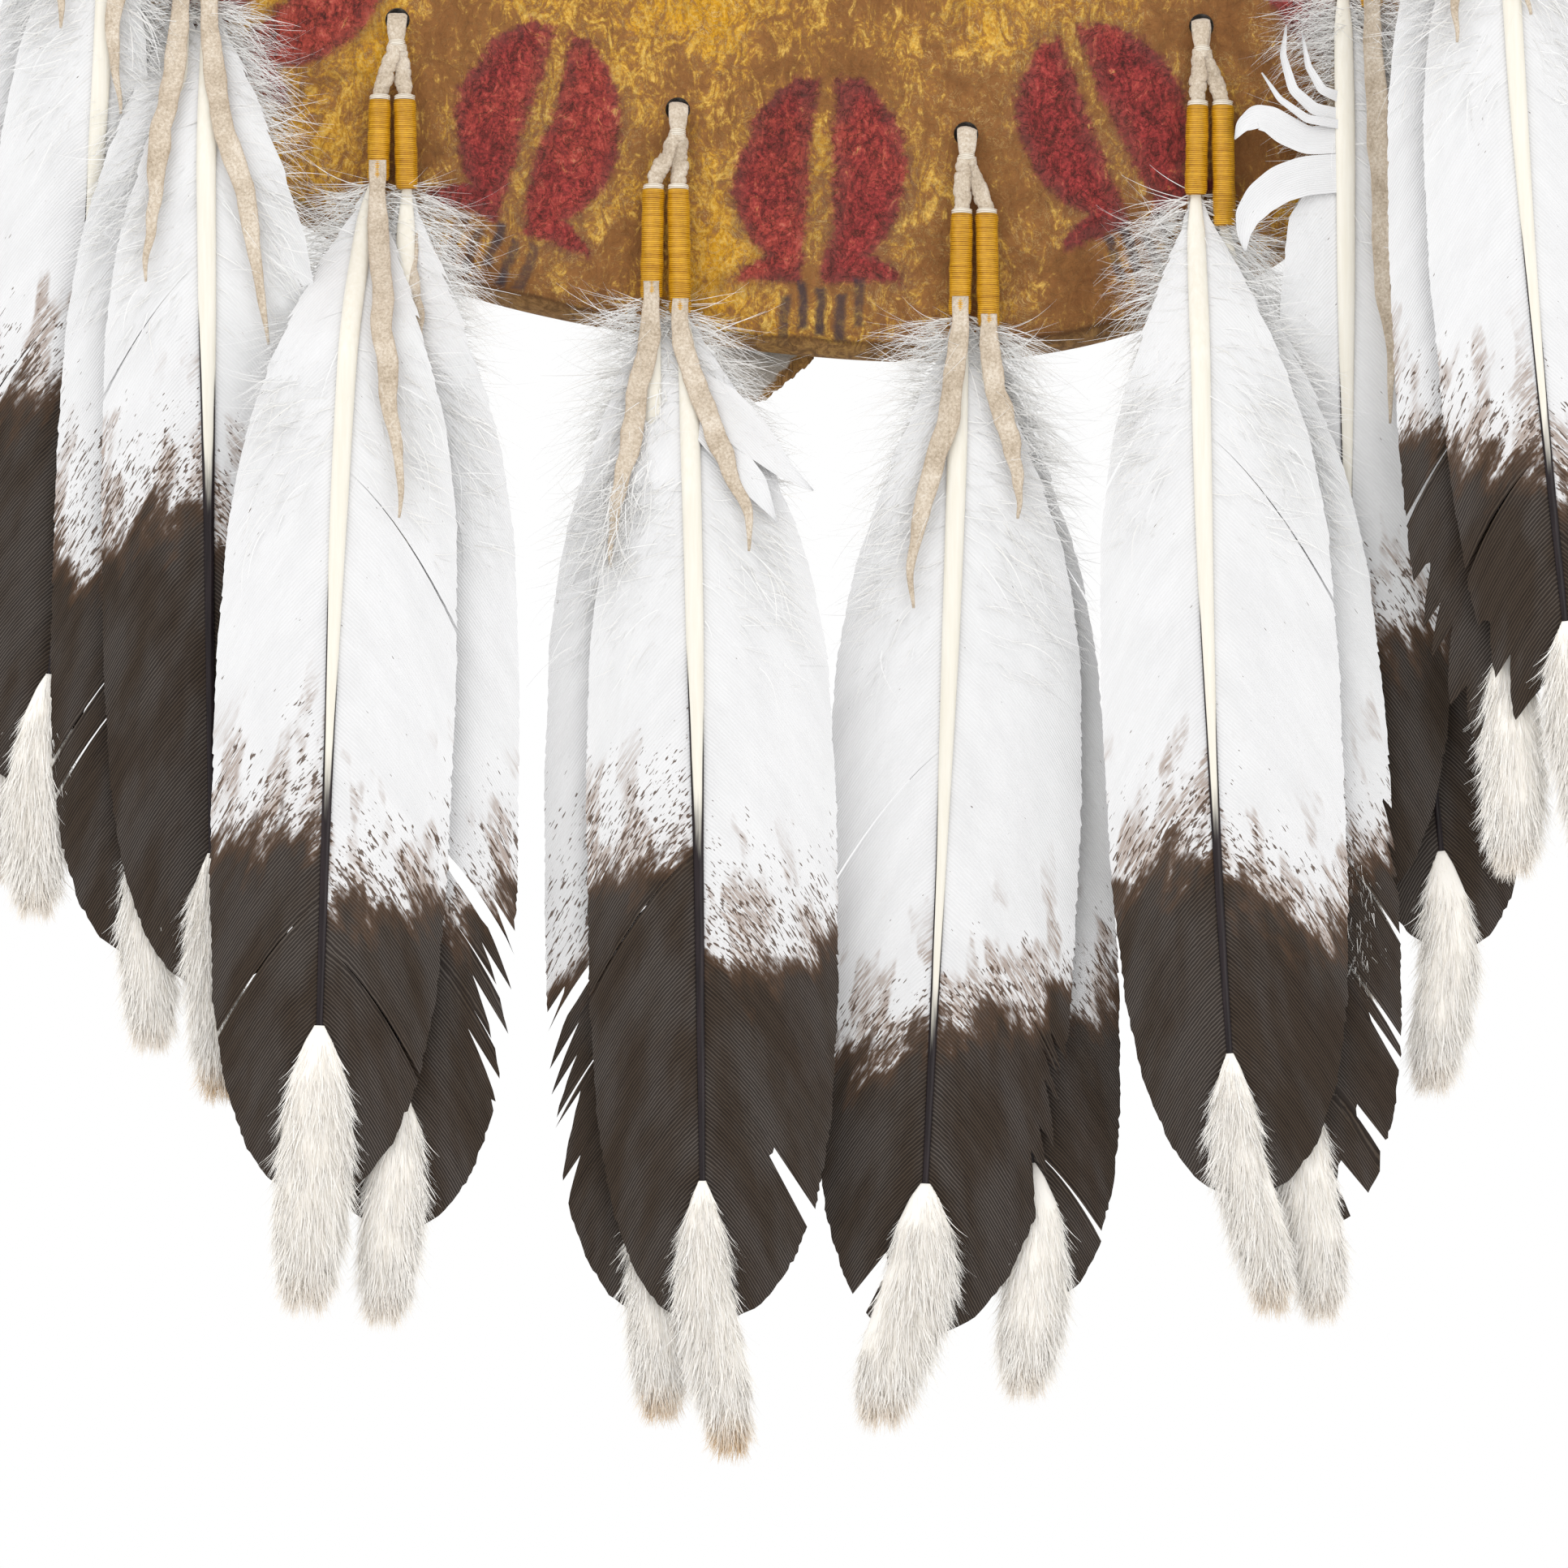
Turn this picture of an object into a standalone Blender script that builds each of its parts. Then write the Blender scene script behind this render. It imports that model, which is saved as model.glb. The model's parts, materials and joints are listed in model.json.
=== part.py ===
"""Painted rawhide shield with eight feather drops, for hanging on a wall.

A sheet of rawhide is turned over a bent wooden hoop and laced behind it. Eight suede thongs
come out of holes near the rim. Each splits into two strands, and each strand is bound with
thread to a feather's quill and hangs on as a loose tail. A fur tip covers each feather's end.

Metres, +Z up. The front faces -Y. The origin is where a wall hook goes under the top of the
turned-back edge, in the plane of the shield's back.
"""

import math
from collections import namedtuple

import bmesh
import bpy
from mathutils import Vector

MM = 0.001

# The disc. Radii are measured from its centre.
RIM_RADIUS = 250.0 * MM
HIDE = 2.5 * MM
HOOP_ROD_RADIUS = 8.5 * MM
GAP = 0.3 * MM
RIM_TURN_OUTER = HOOP_ROD_RADIUS + GAP + HIDE
RIM_TURN_INNER = HOOP_ROD_RADIUS + GAP
HOOP_RADIUS = RIM_RADIUS - RIM_TURN_OUTER
EDGE_RADIUS = 203.0 * MM
RING_STEPS = 60
ROD_SIDES = 8

# The hide dried a little out of round, most at the rim, where three waves meet in one bulge.
# Each wave is its count round the rim, its height and the angle of one of its crests.
RIM_WAVES = [(3, 1.7 * MM, 15.5), (6, 2.4 * MM, 20.0), (7, 1.9 * MM, 22.0)]
RIM_WAVE_POWER = 4

# The lace through the turned-back edge.
LACE_HOLES = 16
LACE_RING = 211.0 * MM
LACE_HOLE_RADIUS = 2.5 * MM
LACE_RADIUS = 1.2 * MM
LACE_SLANT = 1.3 * MM

# The untrimmed tab of hide that sticks out below the rim.
TAB_LEFT = -22.0 * MM
TAB_RIGHT = -1.0 * MM
TAB_REACH = 259.5 * MM
TAB_ROOT = 236.0 * MM

# The drops. Depths are measured forwards from the face of the hide.
THONG_HOLE_RADIUS = 3.2 * MM
NECK_RADIUS = 2.4 * MM
KNOT_RADIUS = 4.4 * MM
WRAP_RADIUS = 3.05 * MM
WRAP_BORE = 2.4 * MM
WRAP_SPACING = 6.6 * MM
WRAP_DEPTH = 5.2 * MM
WRAP_DROP = 21.0 * MM
QUILL_RADIUS = 1.2 * MM
QUILL_BEHIND = 0.85 * MM
STRAND_AHEAD = 1.25 * MM
SUEDE = 1.0 * MM
BOUND_HALF_WIDTH = 1.1 * MM
TAIL_HALF_WIDTH = 2.7 * MM
TAIL_POINT = 0.6 * MM
TAIL_STEPS = 7
FIRST_LAYER = 8.0 * MM
LAYER_PITCH = 13.0 * MM
PAIR_OFFSET = 3.1 * MM
SETTLE = 50.0 * MM
VANE = 1.0 * MM
CAMBER = 1.7 * MM
TAIL_AHEAD = 3.8 * MM
FUR_HALF_DEPTH = 3.5 * MM
FUR_HALF_WIDTH = 10.5 * MM
FUR_SLOT = 2.5 * MM
FUR_TIP_TAPER = 0.45

# The neck's axis, from the knot behind the hide to the split: x across, -y forwards, z up.
NECK_PATH = [(0.0, 9.0 * MM, 0.0), (0.0, 0.0, 0.0), (0.0, -2.8 * MM, -0.6 * MM),
             (0.0, -4.8 * MM, -3.5 * MM), (0.0, -5.2 * MM, -12.0 * MM)]
# A strand on its way from the neck to its binding: share of the way across, depth behind the
# bound strand, height and half width.
SPLIT_PATH = [(0.15, 1.6 * MM, -8.0 * MM, 1.5 * MM), (0.7, 0.6 * MM, -14.5 * MM, 1.9 * MM)]
SPLIT_STEP = 0.1 * MM

DISC_CENTRE = (0.0, -RIM_TURN_OUTER, -EDGE_RADIUS)

# Lengths in millimetres, from the hole. wrap is the length of the binding, reach the depth of
# the vane's tip below the hole, drift its sideways place, bend the power by which it gets
# there, left and right the vane's half widths, fur the fur tip's length, and hang how far the
# fur reaches below the vane. tail is the length of the loose suede tail below the binding, and
# sway the place its end hangs at, sideways from the binding.
Feather = namedtuple("Feather", "wrap reach drift bend left right fur hang tail sway")
# across and down place the hole from the disc's centre. centre is the middle of the two
# bindings. front names the feather that lies in front of the other.
Drop = namedtuple("Drop", "name across down layer centre front left right")

DROPS = [
    Drop("a", -183.8, -62.0, 0, -1.5, "right",
         Feather(24, 296, -27, 1.4, 27, 28, 58, 24, 58, -5),
         Feather(26, 301, -17, 1.6, 27, 14, 60, 28, 78, 2)),
    Drop("b", -159.4, -110.0, 1, -0.7, "right",
         Feather(24, 296, -13, 1.2, 28, 28, 58, 19, 76, -7),
         Feather(26, 304, 5, 1.0, 28, 31, 60, 23, 90, 16)),
    Drop("c", -108.2, -161.7, 2, -1.1, "left",
         Feather(21, 305, -19.5, 0.5, 30, 32, 71, 25, 88, 7),
         Feather(23, 314, 1, 1.0, 28, 31, 60, 19, 62, 4)),
    Drop("d", -35.7, -184.8, 1, -3.0, "right",
         Feather(28, 313, -6, 1.0, 28, 28, 60, 22, 70, -10),
         Feather(32, 315, 7, 0.4, 29, 36, 68, 29, 62, 18)),
    Drop("e", 38.9, -191.1, 0, 2.0, "left",
         Feather(26, 313, -13, 1.3, 31, 36, 60, 18, 76, -13),
         Feather(29, 304, 19, 1.2, 26, 26, 58, 20, 50, 8)),
    Drop("f", 99.8, -163.2, 1, 2.0, "left",
         Feather(23, 304, 9, 2.0, 28, 34, 64, 25, 58, -5),
         Feather(31, 313, 27, 0.9, 28, 30, 60, 18, 66, 5)),
    Drop("g", 140.3, -109.6, 0, -0.5, "left",
         Feather(24, 284, -3, 1.0, 18, 28, 56, 20, 70, -3),
         Feather(28, 295, 24, 1.2, 26, 27, 60, 32, 108, 4)),
    Drop("h", 172.1, -55.9, 2, -1.0, "right",
         Feather(24, 298, 6, 1.2, 26, 24, 58, 26, 70, -5),
         Feather(27, 302, 23, 1.5, 26, 20, 59, 19, 60, 6)),
]

# How wide the vane is along its length: share of the way down, share of the full width.
VANE_PROFILE = [(0.05, 0.06), (0.1, 0.14), (0.15, 0.3), (0.22, 0.6), (0.33, 0.92), (0.5, 1.0),
                (0.72, 0.98), (0.87, 0.86), (0.95, 0.6), (1.0, 0.2)]

COLOURS = {
    "rawhide": ((0.46, 0.20, 0.06), 0.85),
    "bent_wood": ((0.30, 0.18, 0.09), 0.65),
    "lace_leather": ((0.36, 0.23, 0.13), 0.8),
    "suede": ((0.62, 0.50, 0.38), 0.9),
    "ochre_thread": ((0.55, 0.28, 0.03), 0.45),
    "feather": ((0.84, 0.83, 0.82), 0.55),
    "fur": ((0.80, 0.76, 0.70), 0.9),
}


def clear_scene():
    for item in list(bpy.data.objects):
        bpy.data.objects.remove(item, do_unlink=True)


def new_collection(name, hidden=False):
    made = bpy.data.collections.new(name)
    bpy.context.scene.collection.children.link(made)
    made.hide_render = hidden
    return made


def material(slot):
    if slot in bpy.data.materials:
        return bpy.data.materials[slot]
    colour, roughness = COLOURS[slot]
    made = bpy.data.materials.new(slot)
    made.use_nodes = True
    shader = made.node_tree.nodes["Principled BSDF"]
    shader.inputs["Base Color"].default_value = (*colour, 1.0)
    shader.inputs["Roughness"].default_value = roughness
    shader.inputs["Metallic"].default_value = 0.0
    made.diffuse_color = (*colour, 1.0)
    return made


def place(item, collection, parent=None):
    for holder in list(item.users_collection):
        holder.objects.unlink(item)
    collection.objects.link(item)
    item.parent = parent
    return item


def mesh_object(name, shape, collection, parent=None, slot=None):
    """A new object holding the bmesh shape, which is freed."""
    bmesh.ops.recalc_face_normals(shape, faces=shape.faces)
    mesh = bpy.data.meshes.new(name)
    shape.to_mesh(mesh)
    shape.free()
    made = bpy.data.objects.new(name, mesh)
    place(made, collection, parent)
    if slot:
        mesh.materials.append(material(slot))
        mesh.shade_smooth()
        mesh.set_sharp_from_angle(angle=math.radians(50))
    return made


def as_helper(item):
    item.hide_render = True
    item.display_type = "WIRE"
    return item


def applied(item):
    """Turns a curve or a modified mesh into a plain mesh object in the same place."""
    graph = bpy.context.evaluated_depsgraph_get()
    mesh = bpy.data.meshes.new_from_object(item.evaluated_get(graph))
    shape = bmesh.new()
    shape.from_mesh(mesh)
    bmesh.ops.remove_doubles(shape, verts=shape.verts, dist=0.00001)
    shape.to_mesh(mesh)
    shape.free()
    name, parent, holder = item.name, item.parent, item.users_collection[0]
    location, turn = item.location.copy(), item.rotation_euler.copy()
    bpy.data.objects.remove(item, do_unlink=True)
    made = bpy.data.objects.new(name, mesh)
    holder.objects.link(made)
    made.parent = parent
    made.location, made.rotation_euler = location, turn
    return made


def boolean(item, other, operation):
    cut = item.modifiers.new(other.name, "BOOLEAN")
    cut.operation = operation
    cut.solver = "EXACT"
    cut.object = other


def empty(name, collection, location, parent=None):
    made = bpy.data.objects.new(name, None)
    made.empty_display_size = 0.01
    made.location = location
    collection.objects.link(made)
    made.parent = parent
    return made


def smooth(share):
    share = min(max(share, 0.0), 1.0)
    return share * share * (3.0 - 2.0 * share)


# ---- The disc ----


def rim_push(angle):
    """How far the rim is from round. The angle is from straight down, towards +X."""
    return sum(height * math.cos(count * (angle - math.radians(crest)))
               for count, height, crest in RIM_WAVES)


def push_out_of_round(mesh):
    """Moves each point of a disc turned about local Z, with local -Y at its bottom."""
    for point in mesh.vertices:
        radius = math.hypot(point.co.x, point.co.y)
        if radius > GAP:
            angle = math.atan2(point.co.x, -point.co.y)
            share = (radius / RIM_RADIUS) ** RIM_WAVE_POWER
            grown = 1.0 + rim_push(angle) * share / radius
            point.co.x *= grown
            point.co.y *= grown


def arc(radius, steps, start, end):
    for i in range(steps + 1):
        angle = math.radians(start + (end - start) * i / steps)
        yield HOOP_RADIUS + radius * math.cos(angle), radius * math.sin(angle)


def turned(name, profile, steps, collection, parent, slot, closed=False):
    """A profile of (radius, height) turned about local Z."""
    mesh = bpy.data.meshes.new(name)
    edges = [(i, i + 1) for i in range(len(profile) - 1)]
    if closed:
        edges.append((len(profile) - 1, 0))
    mesh.from_pydata([(r, 0.0, z) for r, z in profile], edges, [])
    mesh.materials.append(material(slot))
    made = bpy.data.objects.new(name, mesh)
    place(made, collection, parent)
    screw = made.modifiers.new("Turn", "SCREW")
    screw.axis = "Z"
    screw.steps = steps
    screw.render_steps = steps
    screw.use_merge_vertices = True
    screw.merge_threshold = 0.00001
    screw.use_smooth_shade = True
    return made


def hole_cutters(name, centres, radius, low, high, sides, collection, parent):
    """Upright cylinders about local Z, in one helper object."""
    shape = bmesh.new()
    for x, y in centres:
        made = bmesh.ops.create_cone(shape, cap_ends=True, segments=sides,
                                     radius1=radius, radius2=radius, depth=high - low)
        bmesh.ops.translate(shape, verts=made["verts"], vec=(x, y, (low + high) / 2))
    return as_helper(mesh_object(name, shape, collection, parent))


def lace_angle(hole):
    return 2 * math.pi * (hole + 0.5) / LACE_HOLES


def make_hide(parts, cutters, disc):
    front, back = RIM_TURN_OUTER, -RIM_TURN_OUTER
    profile = [(0.0, front)]
    profile += list(arc(RIM_TURN_OUTER, 8, 90, -90))
    profile += [(EDGE_RADIUS + 19 * MM, back), (EDGE_RADIUS, back), (EDGE_RADIUS, back + HIDE)]
    profile += list(arc(RIM_TURN_INNER, 4, -90, 90))
    profile += [(0.0, front - HIDE)]
    hide = turned("hide_cover", profile, RING_STEPS, parts, disc, "rawhide")
    hide.rotation_euler = (math.radians(90), 0, 0)
    hide = applied(hide)
    push_out_of_round(hide.data)

    tab = bmesh.new()
    bmesh.ops.create_cube(tab, size=1.0)
    bmesh.ops.scale(tab, verts=tab.verts,
                    vec=(TAB_RIGHT - TAB_LEFT, TAB_REACH - TAB_ROOT, HIDE - 2 * GAP))
    bmesh.ops.translate(tab, verts=tab.verts, vec=(
        (TAB_LEFT + TAB_RIGHT) / 2, -(TAB_REACH + TAB_ROOT) / 2, back + HIDE / 2))
    tab = as_helper(mesh_object("tab_of_hide", tab, cutters, disc))
    tab.rotation_euler = hide.rotation_euler
    boolean(hide, tab, "UNION")

    centres = [(drop.across * MM, drop.down * MM) for drop in DROPS]
    holes = hole_cutters("thong_hole_cutters", centres, THONG_HOLE_RADIUS,
                         front - 2 * HIDE, front + HIDE, 10, cutters, disc)
    holes.rotation_euler = hide.rotation_euler
    boolean(hide, holes, "DIFFERENCE")

    centres = [(LACE_RING * math.sin(lace_angle(i)), LACE_RING * math.cos(lace_angle(i)))
               for i in range(LACE_HOLES)]
    holes = hole_cutters("lace_hole_cutters", centres, LACE_HOLE_RADIUS,
                         back - HIDE, back + 2 * HIDE, 8, cutters, disc)
    holes.rotation_euler = hide.rotation_euler
    boolean(hide, holes, "DIFFERENCE")
    hide.data.set_sharp_from_angle(angle=math.radians(50))


def make_hoop(parts, disc):
    bpy.ops.mesh.primitive_torus_add(
        major_segments=RING_STEPS, minor_segments=ROD_SIDES,
        major_radius=HOOP_RADIUS, minor_radius=HOOP_ROD_RADIUS)
    hoop = bpy.context.active_object
    hoop.name = "hoop"
    hoop.data.materials.append(material("bent_wood"))
    place(hoop, parts, disc)
    hoop.rotation_euler = (math.radians(90), 0, 0)
    push_out_of_round(hoop.data)
    hoop.data.shade_smooth()


def tube(name, points, radius, collection, parent, slot=None, resolution=1):
    """A round cord or stem through points, with closed ends."""
    curve = bpy.data.curves.new(name, "CURVE")
    curve.dimensions = "3D"
    curve.bevel_depth = radius
    curve.bevel_resolution = resolution
    curve.use_fill_caps = True
    spline = curve.splines.new("POLY")
    spline.points.add(len(points) - 1)
    for target, point in zip(spline.points, points):
        target.co = (*point, 1.0)
    if slot:
        curve.materials.append(material(slot))
    made = bpy.data.objects.new(name, curve)
    return place(made, collection, parent)


def make_lace(parts, disc):
    """The lace runs behind the edge for one stitch and inside it for the next."""
    behind = LACE_RADIUS + GAP + RIM_TURN_OUTER
    inside = RIM_TURN_OUTER - HIDE - LACE_RADIUS - GAP
    points = []
    for i in range(LACE_HOLES):
        hole = (i + LACE_HOLES // 2) % LACE_HOLES
        first, last = (behind, inside) if i % 2 else (inside, behind)
        places = [(hole, -LACE_SLANT, first), (hole, LACE_SLANT, last)]
        if i < LACE_HOLES - 1:
            places.append((hole + 0.5, 0.0, last))
        for at, along, depth in places:
            angle = lace_angle(at) + along / LACE_RING
            points.append((LACE_RING * math.sin(angle), depth, LACE_RING * math.cos(angle)))
    applied(tube("edge_lace", points, LACE_RADIUS, parts, disc, "lace_leather"))


# ---- The drops. Each is built about its own hole: x across, -y forwards, z up. ----


def wrap_line(drop, feather, side):
    """The binding's axis: x and z at its top and bottom."""
    x = drop.centre * MM + side * WRAP_SPACING / 2
    return x - side * 0.1 * MM, -WRAP_DROP, x + side * 0.4 * MM, -WRAP_DROP - feather.wrap * MM


def rachis_x(drop, feather, side, z):
    """Across place of the shaft at height z, below the binding."""
    _, _, x, start = wrap_line(drop, feather, side)
    share = (start - z) / (start + feather.reach * MM)
    return x + (feather.drift * MM - x) * max(share, 0.0) ** feather.bend


def vane_depth(drop, side, z):
    """Depth of the vane's plane at height z. The drop swings out to its own layer."""
    ahead = PAIR_OFFSET if (drop.front == "left") == (side < 0) else -PAIR_OFFSET
    layer = FIRST_LAYER + drop.layer * LAYER_PITCH + ahead
    bound = (drop.left if side < 0 else drop.right).wrap * MM
    start = WRAP_DEPTH - QUILL_BEHIND
    return start + (layer - start) * smooth((-z - WRAP_DROP - bound) / SETTLE)


def loft(name, rings, collection, parent, slot):
    """A closed skin over rings that have the same number of points."""
    shape = bmesh.new()
    rows = [[shape.verts.new(point) for point in ring] for ring in rings]
    count = len(rows[0])
    for upper, lower in zip(rows, rows[1:]):
        for i in range(count):
            j = (i + 1) % count
            shape.faces.new((upper[i], upper[j], lower[j], lower[i]))
    shape.faces.new(rows[0])
    shape.faces.new(rows[-1])
    return mesh_object(name, shape, collection, parent, slot)


def quill_ring(x, depth, z, radius):
    return [(x + radius * math.cos(math.pi * i / 4), -depth - radius * math.sin(math.pi * i / 4), z)
            for i in range(8)]


def vane_ring(x, depth, z, left, right, crest):
    """A thin cambered section, its middle raised over the shaft."""
    half, low = VANE / 2, CAMBER * (max(left, right) / (30 * MM)) ** 2
    shape = [(right, -low), (right / 2, half - low / 4), (0, half + crest),
             (-left / 2, half - low / 4), (-left, -low), (-left / 2, -half - low / 4),
             (0, -half), (right / 2, -half - low / 4)]
    return [(x + across, -depth - ahead, z) for across, ahead in shape]


def make_feather(name, drop, feather, side, parts, pivot):
    """One body: the round quill in the binding, then the vane with its shaft."""
    x0, z0, x1, z1 = wrap_line(drop, feather, side)
    quill_depth = WRAP_DEPTH - QUILL_BEHIND
    rings = [quill_ring(x0, quill_depth, z0 - GAP, QUILL_RADIUS),
             quill_ring(x1, quill_depth, z1, QUILL_RADIUS)]
    tip = -feather.reach * MM
    for share, width in VANE_PROFILE:
        z = z1 + (tip - z1) * share
        rings.append(vane_ring(rachis_x(drop, feather, side, z), vane_depth(drop, side, z), z,
                               feather.left * width * MM, feather.right * width * MM,
                               (1.0 - 0.75 * share) * MM))
    loft(name, rings, parts, pivot, "feather")


def make_wrap(name, drop, feather, side, parts, pivot):
    x0, z0, x1, z1 = wrap_line(drop, feather, side)
    half = (z0 - z1) / 2
    ends = WRAP_RADIUS - 0.25 * MM
    profile = [(ends, half), (WRAP_RADIUS, half - 2 * MM), (WRAP_RADIUS, 2 * MM - half),
               (ends, -half), (WRAP_BORE, -half), (WRAP_BORE, half)]
    wrap = turned(name, profile, 10, parts, pivot, "ochre_thread", closed=True)
    wrap.location = ((x0 + x1) / 2, -WRAP_DEPTH, (z0 + z1) / 2)
    wrap.rotation_euler = (0, math.atan2(x0 - x1, z0 - z1), 0)


def ribbon(name, stations, collection, parent):
    """A suede strip facing forwards. Each station is x, depth, z and half its width."""
    shape = bmesh.new()
    rows = [[shape.verts.new((x - half, -depth, z)), shape.verts.new((x + half, -depth, z))]
            for x, depth, z, half in stations]
    for upper, lower in zip(rows, rows[1:]):
        shape.faces.new((upper[0], upper[1], lower[1], lower[0]))
    strip = mesh_object(name, shape, collection, parent, "suede")
    thick = strip.modifiers.new("Suede", "SOLIDIFY")
    thick.thickness = SUEDE
    thick.offset = 0.0
    return strip


def tail_x(drop, feather, side, z):
    """Across place of the loose tail. It sways out once and comes half way back."""
    _, _, x, start = wrap_line(drop, feather, side)
    share = (start - z) / (feather.tail * MM)
    return x + feather.sway * MM * smooth(share)


def strand_stations(drop, feather, side):
    x0, z0, x1, z1 = wrap_line(drop, feather, side)
    bound = WRAP_DEPTH + STRAND_AHEAD
    stations = [(x0 * share, bound - behind + side * SPLIT_STEP, z, half)
                for share, behind, z, half in SPLIT_PATH]
    stations += [(x0, bound, z0 + 1.0 * MM, BOUND_HALF_WIDTH),
                 (x1, bound, z1 - 0.8 * MM, BOUND_HALF_WIDTH)]
    for i in range(1, TAIL_STEPS + 1):
        share = i / TAIL_STEPS
        z = z1 - feather.tail * MM * share
        front = vane_depth(drop, -1 if drop.front == "left" else 1, z)
        depth = max(bound, front + TAIL_AHEAD)
        tapered = TAIL_HALF_WIDTH * min(1.0, 2.2 * (1.05 - share))
        half = TAIL_POINT if i == TAIL_STEPS else tapered
        stations.append((tail_x(drop, feather, side, z), depth, z, half))
    return stations


def make_thong(drop, parts, cutters, pivot):
    """One strip: a knot behind the hide, the bound neck, two strands and their tails."""
    name = "thong_" + drop.name
    body = applied(tube(name, NECK_PATH, NECK_RADIUS, parts, pivot, "suede"))
    knot = bmesh.new()
    bmesh.ops.create_uvsphere(knot, u_segments=8, v_segments=6, radius=KNOT_RADIUS)
    bmesh.ops.translate(knot, verts=knot.verts, vec=(0, HIDE + KNOT_RADIUS + 2 * GAP, 0))
    boolean(body, as_helper(mesh_object(name + "_knot", knot, cutters, pivot)), "UNION")
    for side, feather in ((-1, drop.left), (1, drop.right)):
        strip = ribbon(f"{name}_strand_{'left' if side < 0 else 'right'}",
                       strand_stations(drop, feather, side), cutters, pivot)
        boolean(body, as_helper(strip), "UNION")


def make_fur(name, drop, feather, side, parts, cutters, pivot):
    """A flat tapered pad with a slot that the feather's end goes into."""
    low = -(feather.reach + feather.hang) * MM
    length = feather.fur * MM
    tip = -feather.reach * MM
    middle = vane_depth(drop, side, tip)
    shape = bmesh.new()
    bmesh.ops.create_uvsphere(shape, u_segments=10, v_segments=7, radius=1.0)
    for point in shape.verts:
        share = (point.co.z + 1) / 2
        z = low + length * share
        fullness = 1.0 - FUR_TIP_TAPER * smooth((share - 0.4) / 0.6)
        centre = rachis_x(drop, feather, side, max(z, tip))
        point.co.x = centre + point.co.x * FUR_HALF_WIDTH * fullness
        point.co.y = -middle + point.co.y * FUR_HALF_DEPTH
        point.co.z = z
    pad = mesh_object(name, shape, parts, pivot, "fur")
    slot = bmesh.new()
    bmesh.ops.create_cube(slot, size=1.0)
    top = low + length + 10 * MM
    bottom = tip - 2 * GAP
    bmesh.ops.scale(slot, verts=slot.verts, vec=(60 * MM, FUR_SLOT, top - bottom))
    bmesh.ops.translate(slot, verts=slot.verts,
                        vec=(feather.drift * MM, -middle, (top + bottom) / 2))
    boolean(pad, as_helper(mesh_object(name + "_slot", slot, cutters, pivot)), "DIFFERENCE")


def make_drop(drop, parts, cutters, disc):
    hole = (drop.across * MM, -RIM_TURN_OUTER, drop.down * MM)
    pivot = empty(f"drop_{drop.name}_pivot", parts, hole, disc)
    make_thong(drop, parts, cutters, pivot)
    for side, word, feather in ((-1, "left", drop.left), (1, "right", drop.right)):
        tag = f"{drop.name}_{word}"
        make_wrap("wrap_" + tag, drop, feather, side, parts, pivot)
        make_feather("feather_" + tag, drop, feather, side, parts, pivot)
        make_fur("fur_" + tag, drop, feather, side, parts, cutters, pivot)


def main():
    clear_scene()
    parts = new_collection("feather_shield")
    cutters = new_collection("cutters", hidden=True)
    disc = empty("disc_centre", parts, Vector(DISC_CENTRE))
    make_hide(parts, cutters, disc)
    make_hoop(parts, disc)
    make_lace(parts, disc)
    for drop in DROPS:
        make_drop(drop, parts, cutters, disc)


main()
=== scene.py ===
"""The looks of the feathered hide shield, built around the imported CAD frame.

The frame gives the bodies, the holes that the drops hang from and the CAD box. Every visible
piece is made here from a few dimensions in millimetres and rides on its CAD body. Local places
on a drop are x across, depth forwards from the face of the hide and z up, from its hole.
"""

import json
import math
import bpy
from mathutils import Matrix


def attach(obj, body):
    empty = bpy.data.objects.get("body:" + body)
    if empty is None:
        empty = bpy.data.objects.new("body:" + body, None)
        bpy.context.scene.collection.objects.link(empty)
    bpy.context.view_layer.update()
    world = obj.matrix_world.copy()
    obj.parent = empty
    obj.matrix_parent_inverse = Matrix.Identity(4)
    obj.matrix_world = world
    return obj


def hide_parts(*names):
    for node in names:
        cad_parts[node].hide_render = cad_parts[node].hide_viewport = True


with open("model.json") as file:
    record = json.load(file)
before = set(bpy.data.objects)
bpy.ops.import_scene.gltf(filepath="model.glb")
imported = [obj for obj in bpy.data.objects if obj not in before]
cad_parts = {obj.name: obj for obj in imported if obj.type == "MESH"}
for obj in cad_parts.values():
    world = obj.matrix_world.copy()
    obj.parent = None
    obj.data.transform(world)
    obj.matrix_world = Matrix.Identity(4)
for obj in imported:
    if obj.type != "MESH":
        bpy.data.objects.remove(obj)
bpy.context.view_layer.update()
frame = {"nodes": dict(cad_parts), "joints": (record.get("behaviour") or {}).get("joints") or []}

import zlib
from collections import namedtuple

import bmesh
import bpy
import numpy as np
from mathutils import Vector

MM = 0.001

# ---- Dimensions shared with the CAD part ----

RIM_RADIUS = 250.0 * MM
HIDE = 2.5 * MM
RIM_TURN = 11.3 * MM
HOOP_RADIUS = RIM_RADIUS - RIM_TURN
EDGE_RADIUS = 203.0 * MM
DISC_Z = -EDGE_RADIUS
FACE_Y = -2 * RIM_TURN
RIM_WAVES = [(3, 1.7 * MM, 15.5), (6, 2.4 * MM, 20.0), (7, 1.9 * MM, 22.0)]
RIM_WAVE_POWER = 4
THONG_HOLE_RADIUS = 3.2 * MM
LACE_HOLES = 16
LACE_RING = 211.0 * MM
LACE_HOLE_RADIUS = 2.5 * MM
WRAP_RADIUS = 3.05
WRAP_SPACING = 6.6
WRAP_DEPTH = 5.2
WRAP_DROP = 21.0
QUILL_BEHIND = 0.85
FIRST_LAYER = 8.0
LAYER_PITCH = 13.0
PAIR_OFFSET = 3.1
SETTLE = 50.0
CAMBER = 1.7
TAIL_AHEAD = 3.8

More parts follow.
